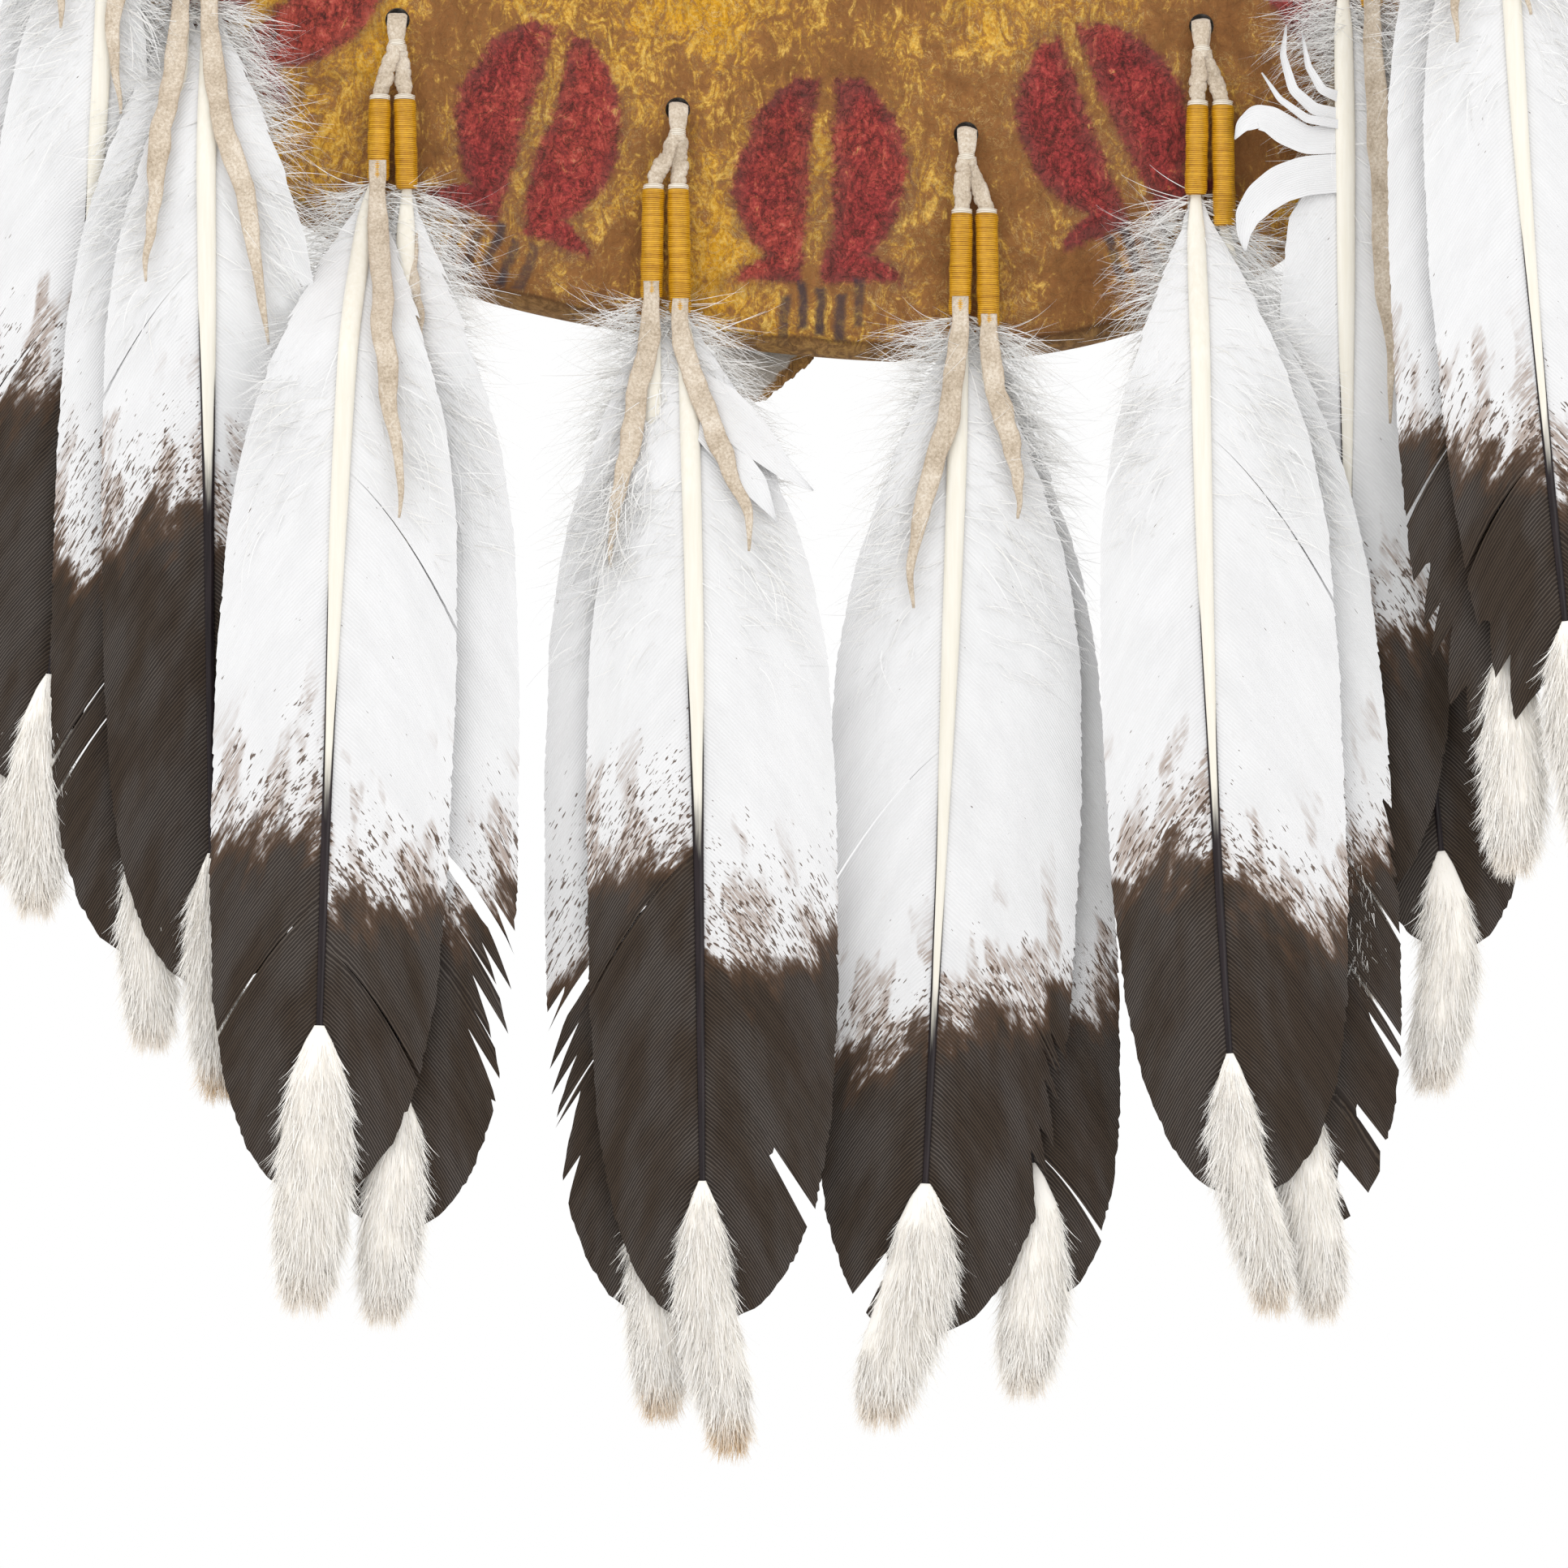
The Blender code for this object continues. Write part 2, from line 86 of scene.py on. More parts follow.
# Millimetres from the hole. wrap is the binding's length, reach the depth of the vane's tip,
# drift its place across, bend the power by which the shaft gets there, left and right the half
# widths. dark holds the depths at which the dark end begins: left edge, shaft, right edge.
# speckle is how far the spots reach above it. tail and sway are the suede tail's length and its
# sideways end, shown tells whether it hangs in front. fur and hang are the fur tip's length and
# how far it reaches below the vane, girth its width and lean the slant of its lower end.
Feather = namedtuple("Feather", "wrap reach drift bend left right dark speckle tail sway shown "
                                "fur hang girth lean")
Drop = namedtuple("Drop", "name layer centre front left right")
DROPS = [
    Drop("a", 0, -1.5, "right",
         Feather(24, 296, -27, 1.4, 27, 28, (196, 190, 200), 30, 58, -5, True, 58, 24, 19, -2),
         Feather(26, 301, -17, 1.6, 27, 14, (200, 193, 200), 30, 78, 2, True, 60, 28, 19, 0)),
    Drop("b", 1, -0.7, "right",
         Feather(24, 296, -13, 1.2, 28, 28, (192, 196, 190), 60, 76, -7, True, 58, 19, 17, 2),
         Feather(26, 304, 5, 1.0, 28, 31, (183, 176, 190), 42, 90, 16, True, 60, 23, 17, 2)),
    Drop("c", 2, -1.1, "left",
         Feather(21, 305, -19.5, 0.5, 30, 32, (214, 203, 224), 36, 88, 7, True, 71, 25, 24, -2),
         Feather(23, 314, 1, 1.0, 28, 31, (228, 226, 224), 40, 62, 4, False, 60, 19, 19, -3)),
    Drop("d", 1, -3.0, "right",
         Feather(28, 313, -6, 1.0, 28, 28, (226, 214, 214), 62, 70, -10, True, 60, 22, 18, 2),
         Feather(32, 315, 7, 0.4, 29, 36, (198, 190, 214), 44, 62, 18, True, 68, 29, 18, 7)),
    Drop("e", 0, 2.0, "left",
         Feather(26, 313, -13, 1.3, 31, 36, (240, 232, 220), 26, 76, -13, True, 60, 18, 24, -9),
         Feather(29, 304, 19, 1.2, 26, 26, (220, 220, 222), 30, 50, 8, True, 58, 20, 21, -4)),
    Drop("f", 1, 2.0, "left",
         Feather(23, 304, 9, 2.0, 28, 34, (222, 208, 232), 30, 58, -5, False, 64, 25, 17, 8),
         Feather(31, 313, 27, 0.9, 28, 30, (214, 212, 208), 28, 66, 5, False, 60, 18, 18, 3)),
    Drop("g", 0, -0.5, "left",
         Feather(24, 284, -3, 1.0, 18, 28, (205, 202, 205), 30, 70, -3, False, 56, 20, 18, 2),
         Feather(28, 295, 24, 1.2, 26, 27, (208, 206, 204), 24, 108, 4, True, 60, 32, 18, -5)),
    Drop("h", 2, -1.0, "right",
         Feather(24, 298, 6, 1.2, 26, 24, (214, 210, 210), 30, 70, -5, True, 58, 26, 19, 0),
         Feather(27, 302, 23, 1.5, 26, 20, (216, 222, 214), 30, 60, 6, True, 59, 19, 19, 3)),
]

# Wear of single feathers, by feather. A split is (side, depth, gap). A notch is (side, from, to,
# share of the barb that is left). A ragged edge is (side, from, to, share of the barb torn).
SPLITS = {
    "c_left": [(1, 158, 0.7), (-1, 262, 0.5), (1, 272, 0.9)],
    "c_right": [(1, 244, 4.0), (1, 256, 5.0), (1, 268, 2.0)],
    "d_left": [(-1, 240, 3.0), (-1, 262, 2.0)],
    "d_right": [(-1, 230, 0.4)],
    "e_left": [(-1, 200, 0.4), (1, 244, 1.0)],
    "e_right": [(1, 120, 1.0), (1, 285, 2.0)],
    "f_left": [(-1, 120, 0.6), (1, 150, 0.5)],
    "f_right": [(1, 236, 2.0), (1, 262, 2.6), (1, 292, 2.4)],
    "g_right": [(1, 218, 1.6), (-1, 240, 1.2)],
    "h_right": [(-1, 250, 2.0), (1, 262, 3.0)],
    "h_left": [(-1, 236, 2.0)],
    "b_left": [(-1, 244, 1.2), (-1, 252, 0.8)],
    "b_right": [(-1, 150, 1.4), (1, 130, 0.8)],
    "a_right": [(-1, 205, 1.0)],
}
NOTCHES = {
    "g_left": [(-1, 40, 104, 0.05)],
    "d_right": [(1, 284, 288, 0.62)],
    "e_left": [(-1, 300, 303.5, 0.55)],
    "f_right": [(1, 266, 269, 0.72), (1, 290, 293, 0.68), (1, 302, 306, 0.6)],
    "h_right": [(1, 292, 303, 0.3), (-1, 289, 303, 0.35)],
    "h_left": [(1, 284, 299, 0.4)],
}
RAGGED = {
    "c_right": [(1, 232, 282, 0.34)],
    "d_left": [(-1, 232, 284, 0.34)],
    "e_left": [(1, 236, 284, 0.18)],
    "f_right": [(1, 200, 226, 0.1)],
    "h_right": [(1, 262, 302, 0.3), (-1, 262, 302, 0.25)],
    "h_left": [(1, 240, 299, 0.3), (-1, 250, 299, 0.3)],
}

# How much lower the dark end begins beside the shaft in the right half of a vane, by feather.
LATE_DARK = {"c_left": 24.0, "d_right": 27.0, "e_left": -4.0, "f_left": 8.0, "b_right": 12.0,
             "h_left": 10.0}

# Bands of vane that have come loose, by feather: points across and down from the hole, each with
# the band's half width there.
LOOSE_BANDS = {
    "g_left": [
        [(-5.0, 83.4, 3.9), (-13.7, 84.2, 3.6), (-19.5, 81.4, 3.9), (-23.2, 78.8, 3.5), (-26.9, 78.0, 3.2),
         (-30.5, 80.2, 1.9), (-32.5, 83.8, 0.2)],
        [(-5.0, 92.4, 5.0), (-14.3, 93.2, 5.1), (-20.6, 95.3, 4.9), (-25.8, 99.0, 4.4), (-29.2, 103.4, 3.4),
         (-30.3, 108.0, 1.9), (-29.9, 112.6, 0.3)],
        [(-5.0, 77.6, 1.8), (-12.0, 76.0, 1.6), (-17.5, 71.0, 1.3), (-20.0, 62.0, 0.9), (-19.0, 54.0, 0.2)],
        [(-5.0, 73.0, 1.4), (-10.0, 71.0, 1.2), (-13.5, 65.0, 0.9), (-15.0, 56.0, 0.2)],
        [(-5.0, 80.0, 1.2), (-14.0, 78.6, 1.1), (-21.0, 73.5, 0.8), (-25.5, 66.5, 0.2)],
    ],
    "d_right": [
        [(4.0, 72.0, 4.5), (11.0, 77.0, 5.6), (19.0, 85.0, 5.2), (27.0, 93.5, 2.6), (35.0, 99.5, 0.2)],
        [(4.0, 80.0, 3.0), (12.0, 88.0, 4.0), (20.0, 98.0, 3.4), (25.5, 107.0, 0.3)],
    ],
}

# Half width of a vane along its length: share of the way from the binding, share of the width.
VANE_PROFILE = [(0.0, 0.05), (0.05, 0.22), (0.1, 0.44), (0.16, 0.64), (0.24, 0.82), (0.34, 0.95), (0.48, 1.0),
                (0.68, 0.99), (0.8, 0.93), (0.88, 0.81), (0.94, 0.62), (0.975, 0.4), (1.0, 0.0)]
BARB_SLOPE = 1.35
BARB_BOW = 0.42
ROW_PITCH = 1.2
BARB_STEPS = 10

# How finely the pieces are drawn, and how many barbs and hairs they have.
HIDE_STEPS = 420
SHAFT_SIDES = 24
TUBE_SIDES = 24
STRIP_SIDES = 16
PELT_SIDES = 20
DOWN_BARBS = 1500
WISPS = 420
FUR_HAIRS = 6500

THREAD_PITCH = 0.5
KNOT_RADIUS = 4.3
KNOT_BEHIND = 4.9
TIE_DEPTH = 3.6
TIE_Z = -6.3

# The wear of the hide: how strongly its front swells, in heights of uneven().
SWELL = 1.6

# Down grows on this share of the shaft, from the binding.
DOWN_SHARE = 0.34

# Tails that lie in the down of their drop, under its longer wisps.
BURIED_TAILS = ("d_left",)

# Depth of a fur tip's middle from its vane, for the front and for the back feather of a pair. The
# pelt is a share of the fur's girth, and no thicker than PELT_HALF.
FUR_AHEAD = 1.4
FUR_BEHIND = 0.3
PELT_SHARE = 0.72
ROOT_SHARE = 0.70
PELT_HALF = 3.2

# Fur tips whose tanned skin shows at the end, and how much.
TAN_ENDS = {"d_right": 1.0, "d_left": 0.8, "b_right": 0.9, "e_left": 0.45, "f_left": 0.5}


def seeded(name):
    """A random generator that depends on the name only."""
    return np.random.default_rng(zlib.crc32(name.encode()))


def smooth(share):
    """A soft step from 0 to 1."""
    share = np.clip(share, 0.0, 1.0)
    return share * share * (3.0 - 2.0 * share)


def relax(line, passes):
    """Draws the inner points of a line towards their neighbours."""
    for _ in range(passes):
        line[1:-1] = (line[:-2] + 2 * line[1:-1] + line[2:]) / 4


def unit(rows):
    """Each row at length one."""
    return rows / np.linalg.norm(rows, axis=1)[:, None]


def wobble(place, period, seed):
    """A smooth line of about unit height that changes over the period."""
    random = seeded(f"wobble {seed}")
    total = np.zeros_like(np.asarray(place, float))
    for octave in range(3):
        turns, start = random.uniform(0.7, 1.4), random.uniform(0, math.tau)
        total += np.sin(math.tau * place / period * turns * 1.9 ** octave + start) / 1.6 ** octave
    return total / 1.6


# ---- Shader graphs ----


class Graph:
    """A material's node tree. Each method adds a node and returns its output."""

    def __init__(self, name):
        self.material = bpy.data.materials.new(name)
        self.material.use_nodes = True
        self.tree = self.material.node_tree
        self.shader = self.tree.nodes["Principled BSDF"]

    def add(self, kind, **settings):
        made = self.tree.nodes.new(kind)
        for key, value in settings.items():
            setattr(made, key, value)
        return made

    def put(self, socket, value):
        if isinstance(value, bpy.types.NodeSocket):
            self.tree.links.new(value, socket)
        elif value is not None:
            socket.default_value = value

    def math(self, operation, *values):
        node = self.add("ShaderNodeMath", operation=operation)
        for socket, value in zip(node.inputs, values):
            self.put(socket, value)
        return node.outputs[0]

    def sum(self, first, *others):
        for other in others:
            first = self.math("ADD", first, other)
        return first

    def times(self, first, *others):
        for other in others:
            first = self.math("MULTIPLY", first, other)
        return first

    def less(self, first, other):
        return self.math("SUBTRACT", first, other)

    def step(self, value, low, high, start=0.0, end=1.0):
        node = self.add("ShaderNodeMapRange", interpolation_type="SMOOTHSTEP")
        for socket, given in zip(node.inputs, (value, low, high, start, end)):
            self.put(socket, given)
        return node.outputs[0]

    def object_place(self):
        return self.add("ShaderNodeTexCoord").outputs["Object"]

    def split(self, vector):
        node = self.add("ShaderNodeSeparateXYZ")
        self.put(node.inputs[0], vector)
        return node.outputs

    def join(self, x, y, z):
        node = self.add("ShaderNodeCombineXYZ")
        for socket, value in zip(node.inputs, (x, y, z)):
            self.put(socket, value)
        return node.outputs[0]

    def scaled(self, vector, factors):
        node = self.add("ShaderNodeVectorMath", operation="MULTIPLY")
        self.put(node.inputs[0], vector)
        self.put(node.inputs[1], factors)
        return node.outputs[0]

    def noise(self, vector, scale, detail=3.0, roughness=0.5, distortion=0.0):
        node = self.add("ShaderNodeTexNoise")
        self.put(node.inputs["Vector"], vector)
        for name, value in (("Scale", scale), ("Detail", detail), ("Roughness", roughness),
                            ("Distortion", distortion)):
            self.put(node.inputs[name], value)
        return node.outputs["Fac"]

    def vein(self, noise, width):
        """1 along the thin lines where a noise passes its middle."""
        return self.step(self.math("ABSOLUTE", self.less(noise, 0.5)), 0.0, width, 1.0, 0.0)

    def between(self, value, rise, fall):
        """1 between a rising and a falling edge, each given as where it starts and ends."""
        return self.times(self.step(value, *rise), self.step(value, *fall))

    def mix(self, factor, first, second):
        node = self.add("ShaderNodeMix", data_type="RGBA")
        self.put(node.inputs[0], factor)
        for socket, value in ((node.inputs[6], first), (node.inputs[7], second)):
            self.put(socket, (*value, 1.0) if isinstance(value, tuple) else value)
        return node.outputs[2]

    def attribute(self, name, output="Fac"):
        return self.add("ShaderNodeAttribute", attribute_name=name).outputs[output]

    def ramp(self, value, stops):
        node = self.add("ShaderNodeValToRGB")
        elements = node.color_ramp.elements
        while len(elements) < len(stops):
            elements.new(0.5)
        for element, (place, colour) in zip(elements, stops):
            element.position = place
            element.color = (*colour, 1.0)
        self.put(node.inputs[0], value)
        return node.outputs[0]

    def finish(self, colour, roughness, bump=None, height=0.0003, strength=1.0, sheen=0.0, specular=0.5):
        """The shader's inputs, with a bump of the given height in metres."""
        for name, value in (("Base Color", colour), ("Roughness", roughness), ("Sheen Weight", sheen),
                            ("Specular IOR Level", specular)):
            self.put(self.shader.inputs[name], value)
        if bump is not None:
            node = self.add("ShaderNodeBump")
            self.put(node.inputs["Height"], bump)
            self.put(node.inputs["Distance"], height)
            self.put(node.inputs["Strength"], strength)
            self.put(self.shader.inputs["Normal"], node.outputs[0])
        return self.material


# The prints on the hide: cloven marks in a ring, each over a row of short strokes. Millimetres.
PRINT_COUNT = 17
PRINT_TURN = math.radians(0.4)
PRINT_RING = 203.0
PRINT_HALF = 22.5
PRINT_TOP = 27.6
PRINT_BOTTOM = 25.2
PRINT_CUT_TOP = 26.5
PRINT_CUT_BOTTOM = 27.0
GAP_TOP_HALF = 1.9
GAP_BOTTOM_HALF = 2.9
FOOT_START = 15.0
FOOT_START_HALF = 9.0
FOOT_END = 25.5
FOOT_END_HALF = 22.5
STROKE_PITCH = 4.9
STROKE_RING = 34.0
STROKE_HALF_WIDTH = 1.4
STROKE_HALF_LENGTH = 6.2
STROKES_REACH = 2.5


def print_place(graph, place, coarse, fine):
    """A point's distance across and along its nearest print, and that print's number."""
    x, _, z = graph.split(place)
    x = graph.sum(graph.times(x, 1 / MM), graph.times(coarse, 5.0))
    z = graph.sum(graph.times(graph.less(z, DISC_Z), -1 / MM), graph.times(fine, 1.4))
    angle = graph.less(graph.math("ARCTAN2", x, z), PRINT_TURN)
    pitch = math.tau / PRINT_COUNT
    number = graph.math("ROUND", graph.math("DIVIDE", angle, pitch))
    local = graph.less(angle, graph.times(number, pitch))
    radius = graph.math("SQRT", graph.sum(graph.times(x, x), graph.times(z, z)))
    across = graph.times(radius, graph.math("SINE", local))
    along = graph.less(graph.times(radius, graph.math("COSINE", local)), PRINT_RING)
    return across, along, number


def lobe_mask(graph, across, along, number):
    """How far inside a red lobe a point is. Each print leans a little to one side."""
    tilt = graph.times(graph.math("SINE", graph.sum(graph.times(number, 2.4), 0.9)), 0.09)
    side = graph.math("ABSOLUTE", graph.sum(across, graph.times(along, tilt)))
    bow = graph.math("DIVIDE", along, graph.step(along, -1.0, 1.0, PRINT_TOP, PRINT_BOTTOM))
    left = graph.math("MAXIMUM", graph.less(1.0, graph.times(bow, bow)), 0.0)
    oval = graph.times(graph.math("SQRT", left), PRINT_HALF)
    foot = graph.step(along, FOOT_START, FOOT_END, FOOT_START_HALF, FOOT_END_HALF)
    middle = graph.step(along, -24.0, 24.0, GAP_TOP_HALF, GAP_BOTTOM_HALF)
    outer = graph.less(graph.math("MAXIMUM", oval, foot), side)
    inside = graph.math("MINIMUM", outer, graph.less(side, middle))
    ends = graph.math("MINIMUM", graph.less(PRINT_CUT_BOTTOM, along), graph.sum(along, PRINT_CUT_TOP))
    return graph.math("MINIMUM", inside, ends)


def stroke_mask(graph, across, along, number):
    """How far inside a dark stroke a point is."""
    stroke = graph.math("ROUND", graph.math("DIVIDE", across, STROKE_PITCH))
    offset = graph.math("ABSOLUTE", graph.less(across, graph.times(stroke, STROKE_PITCH)))
    shift = graph.math("SINE", graph.sum(graph.times(stroke, 2.3), graph.times(number, 1.7)))
    depth = graph.less(graph.less(along, STROKE_RING), graph.times(shift, 2.2))
    strokes = graph.math("MINIMUM", graph.less(STROKE_HALF_WIDTH, offset),
                         graph.less(STROKE_HALF_LENGTH, graph.math("ABSOLUTE", depth)))
    return graph.math("MINIMUM", strokes, graph.less(STROKES_REACH, graph.math("ABSOLUTE", stroke)))


def print_masks(graph, place):
    """How far inside a red lobe and inside a dark stroke a point is, in millimetres, with soft edges."""
    coarse = graph.less(graph.noise(place, 60.0, 2.0), 0.5)
    fine = graph.less(graph.noise(place, 420.0, 4.0, 0.7), 0.5)
    where = print_place(graph, place, coarse, fine)
    lobe = graph.sum(lobe_mask(graph, *where), graph.times(fine, 6.0), graph.times(coarse, 3.0))
    return lobe, graph.sum(stroke_mask(graph, *where), graph.times(fine, 2.0))


Grain = namedtuple("Grain", "mottle broad fibre fine hairs crease")


def rawhide_grain(graph, place):
    """The hide's patterns, from its broad patches to its fine grain."""
    return Grain(mottle=graph.noise(place, 26.0, 6.0, 0.66, 0.6),
                 broad=graph.noise(place, 9.0, 2.0, 0.5),
                 fibre=graph.noise(graph.scaled(place, (1.0, 1.0, 0.6)), 230.0, 7.0, 0.74, 1.6),
                 fine=graph.noise(place, 1100.0, 3.0, 0.7),
                 hairs=graph.vein(graph.noise(place, 150.0, 5.0, 0.66, 2.2), 0.018),
                 crease=graph.vein(graph.noise(place, 210.0, 4.0, 0.6, 0.8), 0.022))


def rawhide_ground(graph, place, grain):
    """Smooth brown skin under rubbed-in ochre, with light fibres and sooty patches."""
    tone = graph.sum(graph.times(grain.mottle, 0.5), graph.times(grain.broad, 0.25),
                     graph.times(grain.fibre, 0.25))
    brown = graph.ramp(tone, [(0.34, (0.16, 0.062, 0.020)), (0.47, (0.29, 0.128, 0.040)),
                              (0.60, (0.40, 0.20, 0.068))])
    ochre = graph.ramp(graph.sum(graph.times(grain.fibre, 0.65), graph.times(grain.fine, 0.35)),
                       [(0.36, (0.33, 0.135, 0.012)), (0.5, (0.63, 0.31, 0.014)), (0.62, (0.78, 0.50, 0.12))])
    cover = graph.sum(graph.times(grain.mottle, 0.42), graph.times(grain.fibre, 0.44),
                      graph.times(grain.fine, 0.14), graph.times(graph.less(grain.broad, 0.5), 0.35))
    ground = graph.mix(graph.step(cover, 0.465, 0.565), brown, ochre)
    fibres = graph.times(grain.hairs, graph.step(grain.mottle, 0.38, 0.56, 0.12, 0.75))
    ground = graph.mix(fibres, ground, (0.74, 0.50, 0.20))
    soot = graph.step(graph.noise(place, 42.0, 4.0, 0.7, 0.5), 0.56, 0.72, 0.0, 0.42)
    return graph.mix(soot, ground, (0.12, 0.05, 0.022))


def painted(graph, place, grain, ground):
    """The red lobes, wrinkled and worn, with a dark halo, and the grey-black strokes."""
    lobe, strokes = print_masks(graph, place)
    red = graph.ramp(graph.sum(graph.times(grain.fibre, 0.5), graph.times(grain.fine, 0.3),
                               graph.times(grain.mottle, 0.2)),
                     [(0.38, (0.034, 0.010, 0.012)), (0.46, (0.17, 0.022, 0.026)),
                      (0.54, (0.38, 0.040, 0.046)), (0.64, (0.56, 0.115, 0.115))])
    brushed = graph.step(graph.sum(lobe, graph.times(graph.less(grain.mottle, 0.5), 14.0)), 0.2, 5.5)
    red = graph.mix(graph.times(graph.less(1.0, brushed), 0.5), red, (0.16, 0.055, 0.05))
    red = graph.mix(graph.times(grain.crease, 0.72), red, (0.035, 0.010, 0.012))
    front = graph.step(graph.split(place)[1], -0.0135, -0.0175)
    worn = graph.step(grain.fibre, 0.60, 0.74, 1.0, 0.45)
    colour = graph.mix(graph.times(graph.step(lobe, -1.1, 1.5, 0.0, 0.93), front, worn), ground, red)
    faint = graph.step(grain.mottle, 0.36, 0.58, 0.88, 0.62)
    inked = graph.times(graph.step(strokes, -0.7, 0.9), front, faint)
    colour = graph.mix(inked, colour, (0.052, 0.042, 0.052))
    halo = graph.times(graph.between(lobe, (-5.5, -0.5), (1.5, -0.5)), graph.step(grain.mottle, 0.40, 0.60))
    return graph.mix(graph.times(halo, front, 0.45), colour, (0.10, 0.045, 0.045))


def rim_shaded(graph, place, grain, colour):
    """The unpainted side of the rim, and a dark line painted where the paint ends and the face curves back:
    painted shade.
    """
    depth = graph.split(place)[1]
    band = graph.between(depth, (-0.0201, -0.0190), (-0.0005, -0.004))
    side = graph.mix(graph.step(grain.fibre, 0.36, 0.62), (0.13, 0.066, 0.022), (0.33, 0.185, 0.070))
    colour = graph.mix(graph.times(band, 0.8), colour, side)
    # painted shade: a dark line where the face curves back into the rim
    line = graph.between(depth, (-0.0206, -0.0198), (-0.0190, -0.0198))
    return graph.mix(graph.times(line, 0.55), colour, (0.055, 0.026, 0.012))


def rawhide_material():
    """Painted rawhide. The inner attribute marks its pale flesh side."""
    graph = Graph("rawhide_painted")
    place = graph.object_place()
    grain = rawhide_grain(graph, place)
    colour = painted(graph, place, grain, rawhide_ground(graph, place, grain))
    colour = rim_shaded(graph, place, grain, colour)
    flesh = graph.ramp(grain.mottle, [(0.3, (0.42, 0.38, 0.33)), (0.7, (0.66, 0.63, 0.58))])
    colour = graph.mix(graph.attribute("inner"), colour, flesh)
    relief = graph.sum(grain.fibre, graph.times(grain.fine, 0.35), graph.times(grain.mottle, 1.4),
                       graph.times(grain.crease, -0.12), graph.times(grain.hairs, 0.08))
    return graph.finish(colour, 0.82, relief, 0.0011, 0.85, specular=0.18)


BARB_LINES = 5.7
BROWN_BARBS = ((0.075, 0.036, 0.018), (0.17, 0.095, 0.052))
TAN_BARBS = ((0.15, 0.072, 0.032), (0.30, 0.175, 0.095))


def vane_dark(graph, along, streak, cloud, painted_sheen, lines):
    """The dark end of a vane: brown-black with pale barb lines, grey patches of painted sheen and bands of
    painted light and shade.
    """
    # painted light and shade, in bands across the barbs
    painted_light_bands = graph.times(graph.math("SINE", graph.times(along, 0.9)), 0.05)
    tone = graph.sum(graph.times(streak, 0.45), graph.times(cloud, 0.35), painted_light_bands)
    dark = graph.ramp(tone, [(0.22, (0.012, 0.007, 0.0045)), (0.6, (0.034, 0.023, 0.016))])
    # painted sheen: grey patches that also lighten the pale barb lines
    dark = graph.mix(graph.times(painted_sheen, 0.42), dark, (0.042, 0.037, 0.035))
    pale_line = graph.mix(painted_sheen, (0.070, 0.050, 0.034), (0.122, 0.104, 0.090))
    return graph.mix(graph.step(lines, -0.1, 0.95, 0.0, 0.7), dark, pale_line)


def vane_white(graph, streak, cloud, lines):
    tone = graph.sum(graph.times(cloud, 0.7), graph.times(streak, 0.3))
    white = graph.ramp(tone, [(0.28, (0.695, 0.695, 0.70)), (0.6, (0.765, 0.765, 0.77))])
    return graph.mix(graph.step(lines, -0.6, 0.8, 0.09, 0.0), white, (0.50, 0.49, 0.49))


def vane_material():
    """A vane, white above and dark below, with spots and a brown haze where they meet.

    The barb attribute holds the place along the shaft, the place along the barb and a seed, in
    millimetres. dark is how far below its edge a point is, and speckle how high the spots reach."""
    graph = Graph("feather_vane")
    dark = graph.attribute("dark")
    along, across, seed = graph.split(graph.attribute("barb", "Vector"))

    def pattern(run, reach, detail, roughness, shift=0.0):
        """A noise drawn out along the barbs. run and reach are its rates along the two ways."""
        place = graph.join(graph.times(along, run), graph.times(across, reach), graph.sum(seed, shift))
        return graph.noise(place, 1.0, detail, roughness)

    streak = pattern(1.1, 0.16, 3.0, 0.6)
    cloud = pattern(0.09, 0.07, 4.0, 0.6)
    spots = pattern(1.25, 0.40, 1.0, 0.5)
    patch = graph.step(pattern(0.05, 0.085, 2.0, 0.5, 7.3), 0.45, 0.62)
    # patches of painted sheen on the dark end
    painted_sheen = graph.step(pattern(0.035, 0.05, 3.0, 0.55, 3.1), 0.36, 0.66)
    lines = graph.math("SINE", graph.times(graph.sum(along, graph.times(cloud, 2.0)), BARB_LINES))
    wander = graph.times(graph.less(cloud, 0.5), 46.0)
    edge = graph.sum(dark, graph.times(graph.less(streak, 0.5), 9.0), wander)
    haze = graph.step(graph.sum(edge, graph.times(patch, 30.0)), -12.0, 14.0)
    smudge = graph.times(haze, graph.step(streak, 0.36, 0.58))
    near = graph.step(graph.math("DIVIDE", graph.sum(dark, wander), graph.attribute("speckle")), -1.15, 0.05)
    dense = graph.sum(graph.times(near, 0.25), graph.times(patch, near, 0.05))
    dots = graph.step(graph.less(spots, graph.less(0.79, dense)), 0.0, 0.03)
    brown = graph.mix(graph.times(streak, 0.8), *BROWN_BARBS)
    tan = graph.mix(graph.times(streak, 0.8), *TAN_BARBS)
    black = vane_dark(graph, along, streak, cloud, painted_sheen, lines)
    colour = graph.mix(graph.times(smudge, 0.66), vane_white(graph, streak, cloud, lines), tan)
    colour = graph.mix(graph.times(dots, 0.9), colour, graph.mix(0.4, brown, black))
    colour = graph.mix(graph.step(edge, -2.5, 4.0), colour, black)
    fringe = graph.between(edge, (-3.0, 1.5), (11.0, 1.5))
    colour = graph.mix(graph.times(fringe, 0.45), colour, brown)
    return graph.finish(colour, 0.52, lines, 0.00012, 0.35, specular=0.12)


